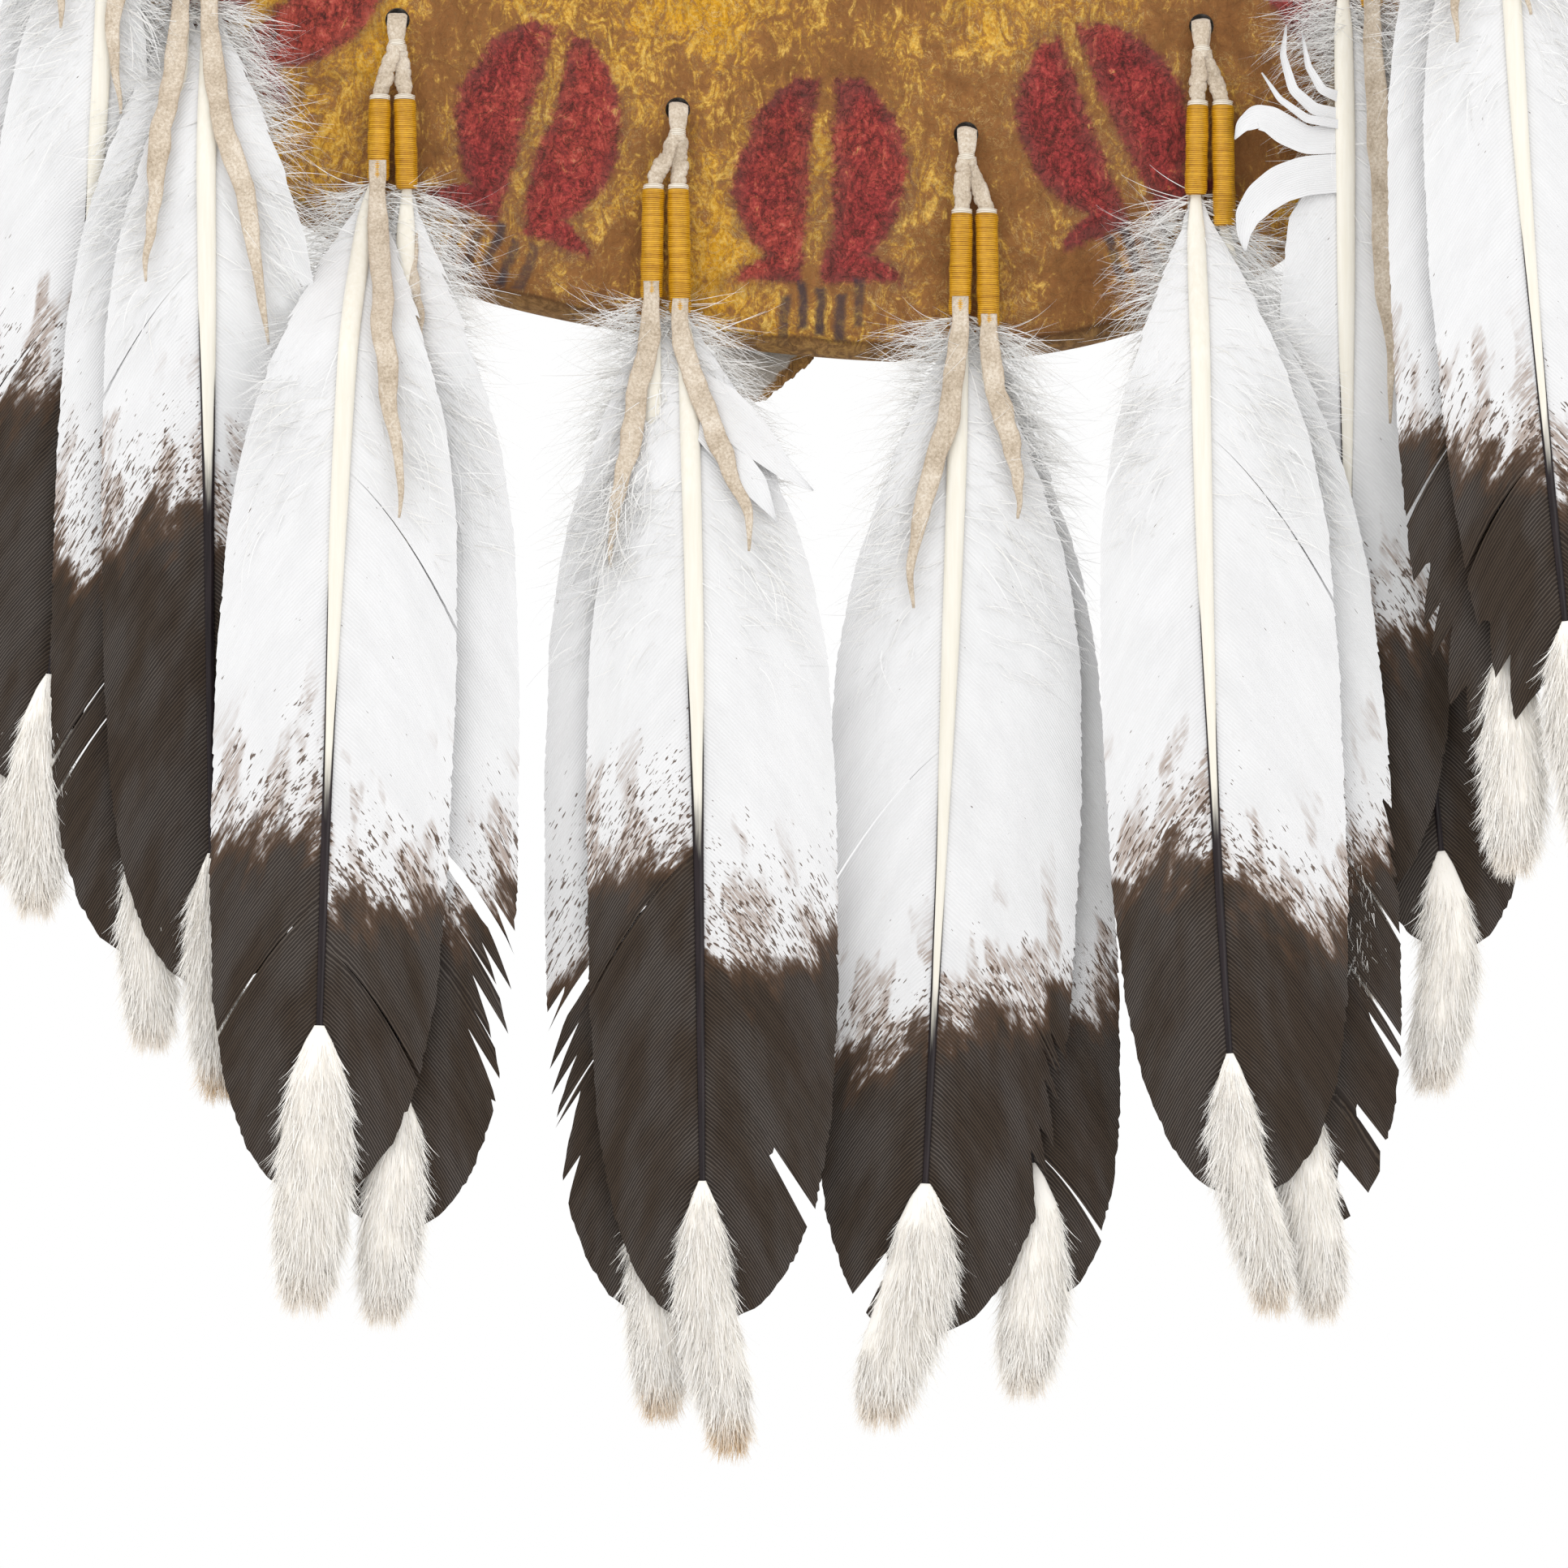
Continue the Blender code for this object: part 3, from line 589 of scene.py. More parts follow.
def shaft_material():
    """Ivory horn that turns black at the dark end. The groove attribute darkens its sides earlier."""
    graph = Graph("feather_shaft")
    noise = graph.noise(graph.scaled(graph.object_place(), (900.0, 900.0, 60.0)), 1.0, 3.0, 0.6)
    horn = graph.ramp(noise, [(0.3, (0.77, 0.73, 0.63)), (0.7, (0.82, 0.79, 0.71))])
    black = graph.ramp(noise, [(0.3, (0.008, 0.005, 0.006)), (0.7, (0.024, 0.016, 0.018))])
    early = graph.times(graph.attribute("groove"), 58.0)
    uneven_edge = graph.times(graph.less(noise, 0.5), 20.0)
    tone = graph.step(graph.sum(graph.attribute("dark"), early, uneven_edge), -14.0, 4.0)
    return graph.finish(graph.mix(tone, horn, black), 0.28, noise, 0.0001, 0.4, specular=0.22)


def hair_material(name, root, tip, mark=None):
    """Fine hair. shade varies it from strand to strand and tip runs from root to end. mark tans it."""
    graph = Graph(name)
    shade, end = graph.attribute("shade"), graph.attribute("tip")
    colour = graph.mix(end, root, tip)
    colour = graph.mix(graph.times(shade, 0.5), colour, graph.scaled(colour, (0.92, 0.88, 0.82)))
    if mark:
        colour = graph.mix(graph.attribute("mark"), colour, mark)
    return graph.finish(colour, 0.75, None, sheen=0.2)


def suede_material():
    """Suede. Its cut edges are browner, and it is painted nearly black in and behind the hole: painted shade.
    """
    graph = Graph("suede_thong")
    place = graph.object_place()
    nap = graph.noise(place, 1500.0, 4.0, 0.7)
    patch = graph.noise(place, 130.0, 3.0, 0.6)
    colour = graph.ramp(graph.sum(graph.times(nap, 0.6), graph.times(patch, 0.4)),
                        [(0.32, (0.34, 0.26, 0.175)), (0.5, (0.60, 0.50, 0.385)), (0.66, (0.82, 0.74, 0.63))])
    colour = graph.mix(graph.times(graph.attribute("edge"), 0.45), colour, (0.36, 0.26, 0.17))
    # painted shade: nearly black where the neck is inside the hole and where the knot faces it
    colour = graph.mix(graph.attribute("grime"), colour, (0.022, 0.014, 0.009))
    return graph.finish(colour, 0.9, graph.sum(nap, patch), 0.0005, 0.8, 0.3)


def thread_material(name, low, mid, high):
    """Wound thread. The turn attribute is 1 on each turn's ridge and 0 between turns; it makes the ridges
    lighter and the grooves between turns darker: painted highlight and painted shade.
    """
    graph = Graph(name)
    turn = graph.attribute("turn")
    place = graph.object_place()
    noise = graph.noise(place, 700.0, 3.0, 0.6)
    turns = graph.noise(graph.scaled(place, (40.0, 40.0, 1300.0)), 1.0, 2.0, 0.6)
    # turn lightens the ridges and darkens between the turns: painted highlight and painted shade
    tone = graph.sum(graph.times(turn, 0.55), graph.times(noise, 0.25), graph.times(turns, 0.55), -0.22)
    colour = graph.ramp(tone, [(0.2, low), (0.5, mid), (0.8, high)])
    return graph.finish(colour, 0.30, graph.sum(noise, turns), 0.0001, 0.6, specular=0.35)


def wood_material():
    graph = Graph("bent_wood_grain")
    place = graph.object_place()
    grain = graph.noise(graph.scaled(place, (1.0, 6.0, 1.0)), 60.0, 6.0, 0.7, 1.2)
    colour = graph.ramp(grain, [(0.3, (0.14, 0.07, 0.03)), (0.55, (0.33, 0.20, 0.10)),
                                (0.75, (0.50, 0.34, 0.19))])
    return graph.finish(colour, 0.6, grain, 0.0006, 0.7)


def lace_material():
    graph = Graph("lace_leather_dry")
    noise = graph.noise(graph.object_place(), 400.0, 5.0, 0.7)
    colour = graph.ramp(noise, [(0.3, (0.15, 0.08, 0.035)), (0.6, (0.36, 0.23, 0.12)),
                                (0.75, (0.50, 0.36, 0.21))])
    return graph.finish(colour, 0.75, noise, 0.0004, 0.8)


# ---- Meshes ----


def mesh_piece(name, points, faces, material, body, stands_for=(), values=None, smooth_faces=True):
    """A visible piece. values holds its point attributes, each one number or vector a point."""
    mesh = bpy.data.meshes.new(name)
    mesh.from_pydata(np.asarray(points).reshape(-1, 3).tolist(), [], faces)
    for key, value in (values or {}).items():
        value = np.asarray(value, np.float32)
        kind = "FLOAT" if value.ndim == 1 else "FLOAT_VECTOR"
        layer = mesh.attributes.new(key, kind, "POINT")
        layer.data.foreach_set("value" if value.ndim == 1 else "vector", value.ravel())
    mesh.materials.append(material)
    if smooth_faces:
        mesh.shade_smooth()
    made = bpy.data.objects.new(name, mesh)
    bpy.context.scene.collection.objects.link(made)
    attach(made, body)
    if stands_for:
        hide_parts(*stands_for)
    return made


def grid_faces(rows, columns, closed=False, start=0):
    """Quads over a grid of points. closed joins the last column to the first."""
    i, j = np.meshgrid(np.arange(rows - 1), np.arange(columns if closed else columns - 1), indexing="ij")
    k = (j + 1) % columns
    quads = np.stack([i * columns + j, i * columns + k, (i + 1) * columns + k, (i + 1) * columns + j], -1)
    return (quads.reshape(-1, 4) + start).tolist()


def skin(rings):
    """Faces of a closed loft over rings of equal size."""
    rows, columns = rings.shape[:2]
    faces = grid_faces(rows, columns, True)
    faces.append(list(range(columns))[::-1])
    faces.append(list(range((rows - 1) * columns, rows * columns)))
    return faces


def local_to_world(hole, x, depth, z):
    """Millimetres on a drop to metres in the row frame."""
    return np.stack([hole.x + np.asarray(x) * MM, FACE_Y - np.asarray(depth) * MM,
                     hole.z + np.asarray(z) * MM], -1)


def tube_rings(path, wide, thick, sides, twist=0.0, ruffle=None):
    """Elliptic rings about a path. wide lies across the path and thick towards the front."""
    path = np.asarray(path, float)
    run = np.gradient(path, axis=0)
    run /= np.linalg.norm(run, axis=1)[:, None]
    across = np.cross(run, np.array([0.0, 1.0, 0.0]))
    flat = np.linalg.norm(across, axis=1) < 0.2
    across[flat] = np.array([1.0, 0.0, 0.0])
    across /= np.linalg.norm(across, axis=1)[:, None]
    front = np.cross(across, run)
    turn = np.broadcast_to(twist, len(path))[:, None]
    angle = np.linspace(0, math.tau, sides, endpoint=False)[None, :]
    a = np.cos(angle) * np.broadcast_to(wide, len(path))[:, None]
    b = np.sin(angle) * np.broadcast_to(thick, len(path))[:, None]
    if ruffle is not None:
        a, b = a * ruffle, b * ruffle
    u = a * np.cos(turn) - b * np.sin(turn)
    v = a * np.sin(turn) + b * np.cos(turn)
    return path[:, None, :] + u[..., None] * across[:, None, :] + v[..., None] * front[:, None, :]


def strands(drop, name, roots, ways, lengths, widths, material, steps, curl, values=None, droop=0.0):
    """Many thin tapered ribbons, in one mesh. ways are their starting directions."""
    random = seeded(name)
    count = len(roots)
    share = np.linspace(0, 1, steps + 1)
    side = unit(np.cross(ways, random.normal(size=(count, 3))))
    bow = np.cross(side, ways) * random.normal(0, curl, (count, 1))
    bow = bow + side * random.normal(0, curl, (count, 1))
    line = ways[:, None, :] * share[None, :, None]
    line = line + (bow[:, None, :] + np.array([0.0, 0.0, droop])) * (share ** 2)[None, :, None]
    line = roots[:, None, :] + line * lengths[:, None, None]
    half = side[:, None, :] * (widths[:, None] * (1.0 - 0.85 * share[None, :] ** 1.5))[..., None] / 2
    points = np.stack([line - half, line + half], 2)
    base = (np.arange(count) * (steps + 1) * 2)[:, None]
    start = (base + np.arange(steps)[None, :] * 2)[..., None]
    faces = np.concatenate([start, start + 1, start + 3, start + 2], -1).reshape(-1, 4).tolist()
    given = {"shade": np.repeat(random.random(count) ** 2, (steps + 1) * 2),
             "tip": np.tile(np.repeat(share, 2), count)}
    for key, value in (values or {}).items():
        given[key] = np.repeat(value, (steps + 1) * 2)
    drop_piece(drop, name, points, faces, material, (), given)


# ---- The hide ----


def rim_push(angle):
    """How far the rim stands out of its circle."""
    return sum(height * np.cos(count * (angle - math.radians(crest))) for count, height, crest in RIM_WAVES)


def hide_profile():
    """Radius and place ahead of the rim's middle, from the middle of the face round the rim, outside
    and then inside."""
    outer = [(r, RIM_TURN) for r in np.linspace(0.002, HOOP_RADIUS - 0.002, 68)]
    outer += [(HOOP_RADIUS + RIM_TURN * math.cos(a), RIM_TURN * math.sin(a))
              for a in np.radians(np.linspace(90, -90, 17))]
    outer += [(r, -RIM_TURN) for r in np.linspace(HOOP_RADIUS - 0.004, EDGE_RADIUS, 9)]
    turn = RIM_TURN - HIDE
    inner = [(r, -turn) for r in np.linspace(EDGE_RADIUS, HOOP_RADIUS - 0.004, 6)]
    inner += [(HOOP_RADIUS + turn * math.cos(a), turn * math.sin(a))
              for a in np.radians(np.linspace(-90, 90, 10))]
    inner += [(r, turn) for r in np.linspace(HOOP_RADIUS - 0.006, 0.002, 22)]
    return np.array(outer), np.array(inner)


def uneven(x, z):
    """The low swells that rawhide dries into."""
    return (np.sin(x * 61 + 1.3 * np.sin(z * 43)) * np.sin(z * 57 + 0.9) * 0.35
            + np.sin(x * 133 + z * 97) * np.sin(z * 141 - x * 53) * 0.22
            + np.sin(x * 311 + 2.0) * np.sin(z * 287 + x * 91) * 0.13) * MM


def make_hide(material):
    """The hide, drawn as a profile turned round its middle and pushed out by the rim's waves."""
    outer, inner = hide_profile()
    profile = np.concatenate([outer, inner])
    angle = np.linspace(0, math.tau, HIDE_STEPS, endpoint=False)
    near_rim = (profile[:, 0][:, None] / RIM_RADIUS) ** RIM_WAVE_POWER
    radius = profile[:, 0][:, None] + rim_push(angle)[None, :] * near_rim
    edge = np.exp(-((profile[:, 0] - EDGE_RADIUS) / 0.006) ** 2) * (profile[:, 1] < 0)
    radius = radius + edge[:, None] * (np.sin(angle * 13) * 1.2 + np.sin(angle * 29 + 1) * 0.7)[None, :] * MM
    x, z = radius * np.sin(angle), -radius * np.cos(angle)
    depth = np.broadcast_to(profile[:, 1][:, None], x.shape)
    faceward = smooth((profile[:, 1] / RIM_TURN - 0.2) / 0.6)[:, None]
    depth = depth + uneven(x, z) * faceward * SWELL
    points = np.stack([x, -RIM_TURN - depth, DISC_Z + z], -1)
    faces = grid_faces(len(profile), HIDE_STEPS, True)
    faces.append(list(range(HIDE_STEPS))[::-1])
    last = (len(profile) - 1) * HIDE_STEPS
    faces.append(list(range(last, last + HIDE_STEPS)))
    hide = mesh_piece("hide", points, faces, material, "shield", ["hide_cover"])
    cut_holes(hide)
    mark_flesh(hide)
    hide.data.shade_smooth()
    hide.data.set_sharp_from_angle(angle=math.radians(60))


def mark_flesh(hide):
    """Sets the inner attribute on the hide's flesh side, from where each vertex is."""
    places = np.array([v.co for v in hide.data.vertices])
    x, z = places[:, 0], places[:, 2] - DISC_Z
    r = np.hypot(x, z)
    r -= rim_push(np.arctan2(x, -z)) * (r / RIM_RADIUS) ** RIM_WAVE_POWER
    depth = -places[:, 1] - RIM_TURN
    depth -= np.where(depth > 0, uneven(x, z) * SWELL, 0.0)
    bound = RIM_TURN - HIDE * 0.6
    behind = np.where(r > HOOP_RADIUS, np.hypot(r - HOOP_RADIUS, depth) < bound, np.abs(depth) < bound)
    layer = hide.data.attributes.new("inner", "FLOAT", "POINT")
    layer.data.foreach_set("value", behind.astype(np.float32))


def cut_holes(hide):
    """Cuts the thong holes and the lace holes, as one Boolean that is applied."""
    shape = bmesh.new()
    turn = [(math.tau * (i + 0.5) / LACE_HOLES) for i in range(LACE_HOLES)]
    holes = [(hole.x, hole.z, FACE_Y, THONG_HOLE_RADIUS, 20) for hole in HOLES.values()]
    holes += [(LACE_RING * math.sin(a), DISC_Z + LACE_RING * math.cos(a), 0.0, LACE_HOLE_RADIUS, 14)
              for a in turn]
    for x, z, y, radius, sides in holes:
        made = bmesh.ops.create_cone(shape, cap_ends=True, segments=sides, radius1=radius, radius2=radius,
                                     depth=8 * MM)
        for vert in made["verts"]:
            vert.co = Vector((x + vert.co.x, y + vert.co.z, z + vert.co.y))
    bmesh.ops.recalc_face_normals(shape, faces=shape.faces)
    mesh = bpy.data.meshes.new("hole_cutters")
    shape.to_mesh(mesh)
    shape.free()
    cutter = bpy.data.objects.new("hole_cutters", mesh)
    bpy.context.scene.collection.objects.link(cutter)
    cut = hide.modifiers.new("Holes", "BOOLEAN")
    cut.operation, cut.solver, cut.object = "DIFFERENCE", "EXACT", cutter
    graph = bpy.context.evaluated_depsgraph_get()
    result = bpy.data.meshes.new_from_object(hide.evaluated_get(graph))
    hide.modifiers.clear()
    hide.data = result
    bpy.data.objects.remove(cutter, do_unlink=True)


def make_tab(material):
    """The untrimmed tab below the rim, its pale flesh side turned forwards and its cut edge brown."""
    rows, columns = 30, 52
    left, corner, right = -26.0, -13.7, -0.4
    top, rim, bottom = 241.0, 248.6, 259.6
    u = np.linspace(0, 1, columns)[None, :]
    v = np.linspace(0, 1, rows)[:, None]
    x = left + (right - left) * u + 0 * v
    fall = np.clip((x - corner) / (right - corner), 0, 1)
    end = bottom + (rim - bottom) * fall + 0.28 * np.sin(x * 1.9) + 0.2 * np.sin(x * 4.3 + 1)
    end = end - 3.0 * smooth((corner - x) / 11.0)
    z = -(top + (end - top) * v)
    y = -2.0 - 2.6 * smooth(v) * (0.4 + 0.6 * np.sin(u * 3.0)) + 0.25 * np.sin(u * 11 + v * 4)
    front = np.stack([x, y - 0.9, z], -1)
    back = front + np.array([0.0, 1.9, 0.0])
    points = np.concatenate([front, back]) * MM
    points[..., 2] += DISC_Z
    count = rows * columns
    faces = [f[::-1] for f in grid_faces(rows, columns)] + grid_faces(rows, columns, start=count)
    border = ([(0, j) for j in range(columns)] + [(i, columns - 1) for i in range(1, rows)]
              + [(rows - 1, j) for j in range(columns - 2, -1, -1)]
              + [(i, 0) for i in range(rows - 2, 0, -1)])
    index = [i * columns + j for i, j in border]
    for first, second in zip(index, index[1:] + index[:1]):
        faces.append([first, second, second + count, first + count])
    low = (-z - rim) / (bottom - rim)
    cut = right + (corner - right) * low - (5.6 - 3.2 * low) + 0.5 * np.sin(z * 1.7) + 0.3 * np.sin(z * 3.9)
    pale = np.zeros((2 * rows, columns))
    pale[:rows] = smooth((cut - x) / 0.9 + 0.5) * smooth((1.0 - v) * 14)
    mesh_piece("hide_tab", points, faces, material, "shield", (), {"inner": pale.ravel()})


def make_lace(material):
    """A flat rawhide lace, behind the edge for one stitch and inside it for the next."""
    points = []
    for i in range(LACE_HOLES):
        hole = (i + LACE_HOLES // 2) % LACE_HOLES + (0 if i < LACE_HOLES // 2 else LACE_HOLES)
        behind, inside = 1.5, -4.0
        first, last = (behind, inside) if i % 2 else (inside, behind)
        for at, along, depth in ((hole, -1.3, first), (hole, 1.3, last), (hole + 0.5, 0.0, last)):
            if at == hole + 0.5 and i == LACE_HOLES - 1:
                continue
            angle = math.tau * (at + 0.5) / LACE_HOLES + along * MM / LACE_RING
            points.append((LACE_RING / MM * math.sin(angle), depth, LACE_RING / MM * math.cos(angle)))
    points = np.array(points)
    at = np.linspace(0, len(points) - 1, len(points) * 6)
    path = np.stack([np.interp(at, np.arange(len(points)), points[:, k]) for k in range(3)], -1)
    relax(path, 2)
    path = path * MM + np.array([0.0, 0.0, DISC_Z])
    place = np.arange(len(path))
    rings = tube_rings(path, (1.3 + 0.15 * wobble(place, 9, "lace")) * MM, 1.0 * MM, 10)
    mesh_piece("lace", rings, skin(rings), material, "shield", ["edge_lace"])


# ---- The drops ----


def pair(drop):
    """Side, word and feather of each half of a drop."""
    return (-1, "left", drop.left), (1, "right", drop.right)


def drop_piece(drop, name, points, faces, material, stands_for=(), values=None):
    """A piece that rides on its drop."""
    mesh_piece(name, points, faces, MATERIALS[material], f"drop_{drop.name}", stands_for, values)


def wrap_line(drop, feather, side):
    """The binding's axis: x and z at its top and bottom."""
    x = drop.centre + side * WRAP_SPACING / 2
    return x - side * 0.1, -WRAP_DROP, x + side * 0.4, -WRAP_DROP - feather.wrap


def shaft_x(drop, feather, side, z):
    """Where the shaft is across."""
    _, _, x, start = wrap_line(drop, feather, side)
    share = np.clip((start - z) / (start + feather.reach), 0.0, None)
    return x + (feather.drift - x) * share ** feather.bend


def pair_offset(drop, side):
    """How far a feather lies ahead of the middle of its drop's layer."""
    return PAIR_OFFSET if (drop.front == "left") == (side < 0) else -PAIR_OFFSET


def vane_depth(drop, feather, side, z):
    """Depth of the vane. The drop swings out from its binding to its own layer."""
    layer = FIRST_LAYER + drop.layer * LAYER_PITCH + pair_offset(drop, side)
    start = WRAP_DEPTH - QUILL_BEHIND
    return start + (layer - start) * smooth((-z - WRAP_DROP - feather.wrap) / SETTLE)


def front_depth(drop, z):
    """Depth of the vane of the drop's front feather."""
    side, feather = (-1, drop.left) if drop.front == "left" else (1, drop.right)
    return vane_depth(drop, feather, side, z)


def half_width(share):
    """Half width of a vane, as a share of its greatest, with the corners of the profile rounded."""
    places, widths = zip(*VANE_PROFILE)
    fine = np.linspace(0, 1, 401)
    line = np.interp(fine, places, widths)
    kernel = np.hanning(17)
    soft = np.convolve(np.pad(line, 8, mode="edge"), kernel / kernel.sum(), "valid")
    line = np.where(fine < 0.9, soft, line + (soft - line) * (1 - fine) / 0.1)
    return np.interp(share, fine, line)


def torn(key, half, z, random):
    """Share of its length that each barb keeps."""
    depth = -z
    kept = 1.0 - 0.012 * np.abs(wobble(z, 9, f"{key}{half}")) - 0.01 * random.random(len(z))
    for side, first, last, lost in RAGGED.get(key, []):
        if side != half:
            continue
        saw = np.zeros(len(z))
        place = 0
        while place < len(z):
            tooth = int(random.integers(5, 12))
            bite = np.linspace(1, 0, tooth) ** 1.3 * random.uniform(0.5, 1.0)
            saw[place:place + tooth] = bite[:len(z) - place]
            place += tooth
        inside = smooth((depth - first) / 6) * smooth((last - depth) / 6)
        kept = kept - lost * saw * inside
    for side, first, last, keep in NOTCHES.get(key, []):
        if side == half:
            inside = (depth > first) & (depth < last)
            kept = np.where(inside, np.minimum(kept, keep + 0.04 * random.random(len(z))), kept)
    return kept


def open_splits(key, half, edge_z, t, z):
    """Parts the barbs at each split. Gives where they are, and the rows that have no faces."""
    rows = len(edge_z)
    broken = []
    for side, depth, gap in SPLITS.get(key, []):
        if side != half:
            continue
        row = min(max(int(np.argmin(np.abs(edge_z + depth))), 2), rows - 3)
        distance = (np.arange(rows) - row - 0.5)[:, None] * ROW_PITCH
        z = z - np.sign(distance) * gap / 2 * (t ** 1.6) * np.exp(-np.abs(distance) / 7.0)
        middle = (z[row] + z[row + 1]) / 2
        hold = (1 - t[row]) ** 0.35
        z[row] += (middle - z[row]) * hold
        z[row + 1] += (middle - z[row + 1]) * hold
        broken.append(row)
    return z, broken


def dark_limit(feather, half, key, t):
    """Depth at which the dark end begins, from the shaft to the barb's end."""
    left, middle, right = feather.dark
    limit = middle + ((left if half < 0 else right) - middle) * t
    if half > 0:
        limit = limit + LATE_DARK.get(key, 5.0) * (1 - t) + 4.0 * np.sin(math.pi * t)
    return limit


def vane_half(drop, feather, side, half, key):
    """Points, faces and attributes of one half of a vane. half is -1 to the left of the shaft."""
    random = seeded(f"{key} {half}")
    start, tip = -WRAP_DROP - feather.wrap, -feather.reach
    top = start - 4.0
    rows = int((top - tip) / ROW_PITCH)
    edge_z = np.linspace(top, tip, rows)
    wide = (feather.left if half < 0 else feather.right) * half_width((start - edge_z) / (start - tip))
    fluffy = 1 - smooth(((start - edge_z) / (start - tip) - 0.06) / 0.22)
    kept = torn(key, half, edge_z, random)
    kept = kept - fluffy * (0.25 + 0.12 * wobble(edge_z, 13, key + str(half)) + 0.2 * random.random(rows))
    t = np.linspace(0, 1, BARB_STEPS)[None, :] * kept[:, None]
    fall = BARB_SLOPE * wide[:, None]
    z = edge_z[:, None] + fall - fall * ((1 - BARB_BOW) * t + BARB_BOW * t * t)
    z, broken = open_splits(key, half, edge_z, t, np.minimum(z, start))
    across = wide[:, None] * t
    x = shaft_x(drop, feather, side, z) + half * across
    depth = vane_depth(drop, feather, side, z)
    depth = depth - CAMBER * (across / 30) ** 2 + 0.30 * wobble(z * 0.7 + across, 37, key) * (across / 30)
    depth = depth + 0.35 * (np.sin(across / 6.5) if half < 0 else -np.sin(across / 8.0)) * smooth(across / 20)
    root = edge_z[:, None] + fall
    seed = np.full(x.shape, (zlib.crc32(key.encode()) % 97) * 1.7 + half * 5)
    values = {"barb": np.stack([root + 0 * t, across * 1.5, seed], -1).reshape(-1, 3),
              "dark": (-z - dark_limit(feather, half, key, t)).ravel(),
              "speckle": np.full(x.size, float(feather.speckle))}
    faces = [f for f in grid_faces(rows, BARB_STEPS) if f[0] // BARB_STEPS not in broken]
    if half < 0:
        faces = [f[::-1] for f in faces]
    points = local_to_world(HOLES[drop.name], x, depth, z)
    return points.reshape(-1, 3), faces, values


def make_vane(drop, feather, side, word):
    key = f"{drop.name}_{word}"
    points, faces, values = vane_half(drop, feather, side, -1, key)
    more, others, extra = vane_half(drop, feather, side, 1, key)
    faces = faces + [[i + len(points) for i in f] for f in others]
    values = {name: np.concatenate([values[name], extra[name]]) for name in values}
    drop_piece(drop, f"vane_{key}", np.concatenate([points, more]), faces, "vane",
               [f"feather_{key}"], values)


def make_loose_band(name, drop, feather, side, index, band):
    """One loose band of barbs, curling a little out of the vane's plane."""
    rows, columns = 60, 7
    at = np.linspace(0, len(band) - 1, rows)
    across, down, half = (np.interp(at, range(len(band)), [p[i] for p in band]) for i in range(3))
    for line in (across, down, half):
        relax(line, 5)
    run = unit(np.stack([np.gradient(across), np.gradient(down)], -1))
    t = np.linspace(-1, 1, columns)[None, :]
    x = across[:, None] - run[:, 1:] * half[:, None] * t
    z = -(down[:, None] + run[:, :1] * half[:, None] * t)
    share = np.linspace(0, 1, rows)[:, None]
    curl = 0.6 + 2.2 * np.sin(share * 2.6) + 0.7 * t ** 2 * share + 0.25 * index
    depth = vane_depth(drop, feather, side, z) + curl
    points = local_to_world(HOLES[drop.name], x, depth, z)
    barb = np.stack([half[:, None] * t * 2 + 0 * x, share * 30 + 0 * x, np.full(x.shape, index * 3.1)], -1)
    values = {"barb": barb.reshape(-1, 3), "dark": np.full(x.size, -120.0), "speckle": np.full(x.size, 30.0)}
    drop_piece(drop, name, points, grid_faces(rows, columns), "vane", (), values)


def make_shaft(drop, feather, side, word):
    """The quill in the binding and the shaft down to the tip, flat oval, with a groove."""
    key = f"{drop.name}_{word}"
    x0, z0, x1, z1 = wrap_line(drop, feather, side)
    tip = -feather.reach + 3.0
    z = np.concatenate([[z0 - 0.5], np.linspace(z1 + 2, tip, 90)])
    share = np.clip((z1 - z) / (z1 - tip), 0, 1)
    half = np.interp(share, [0, 0.04, 0.12, 0.32, 0.54, 0.76, 0.93, 1.0],
                     [1.3, 2.4, 2.6, 2.3, 1.35, 1.0, 0.6, 0.15])
    x = np.where(z > z1, x0 + (x1 - x0) * (z0 - z) / (z0 - z1), shaft_x(drop, feather, side, z))
    depth = vane_depth(drop, feather, side, z) + 0.35 * half
    half = np.where(z > z1 + 1, 1.3, half)
    path = local_to_world(HOLES[drop.name], x, depth, z)
    rings = tube_rings(path, half * MM, half * 0.5 * MM, SHAFT_SIDES)
    dark = np.repeat(-z - feather.dark[1], SHAFT_SIDES)
    lean = np.cos(np.linspace(0, math.tau, SHAFT_SIDES, endpoint=False))
    edges = np.exp(-((lean + 0.95) / 0.22) ** 2) + 0.5 * np.exp(-((lean - 0.95) / 0.22) ** 2)
    groove = np.tile(edges, len(z)) * np.repeat(smooth(share * 2), SHAFT_SIDES)
    drop_piece(drop, f"shaft_{key}", rings, skin(rings), "shaft", (),
               {"dark": dark, "groove": groove})


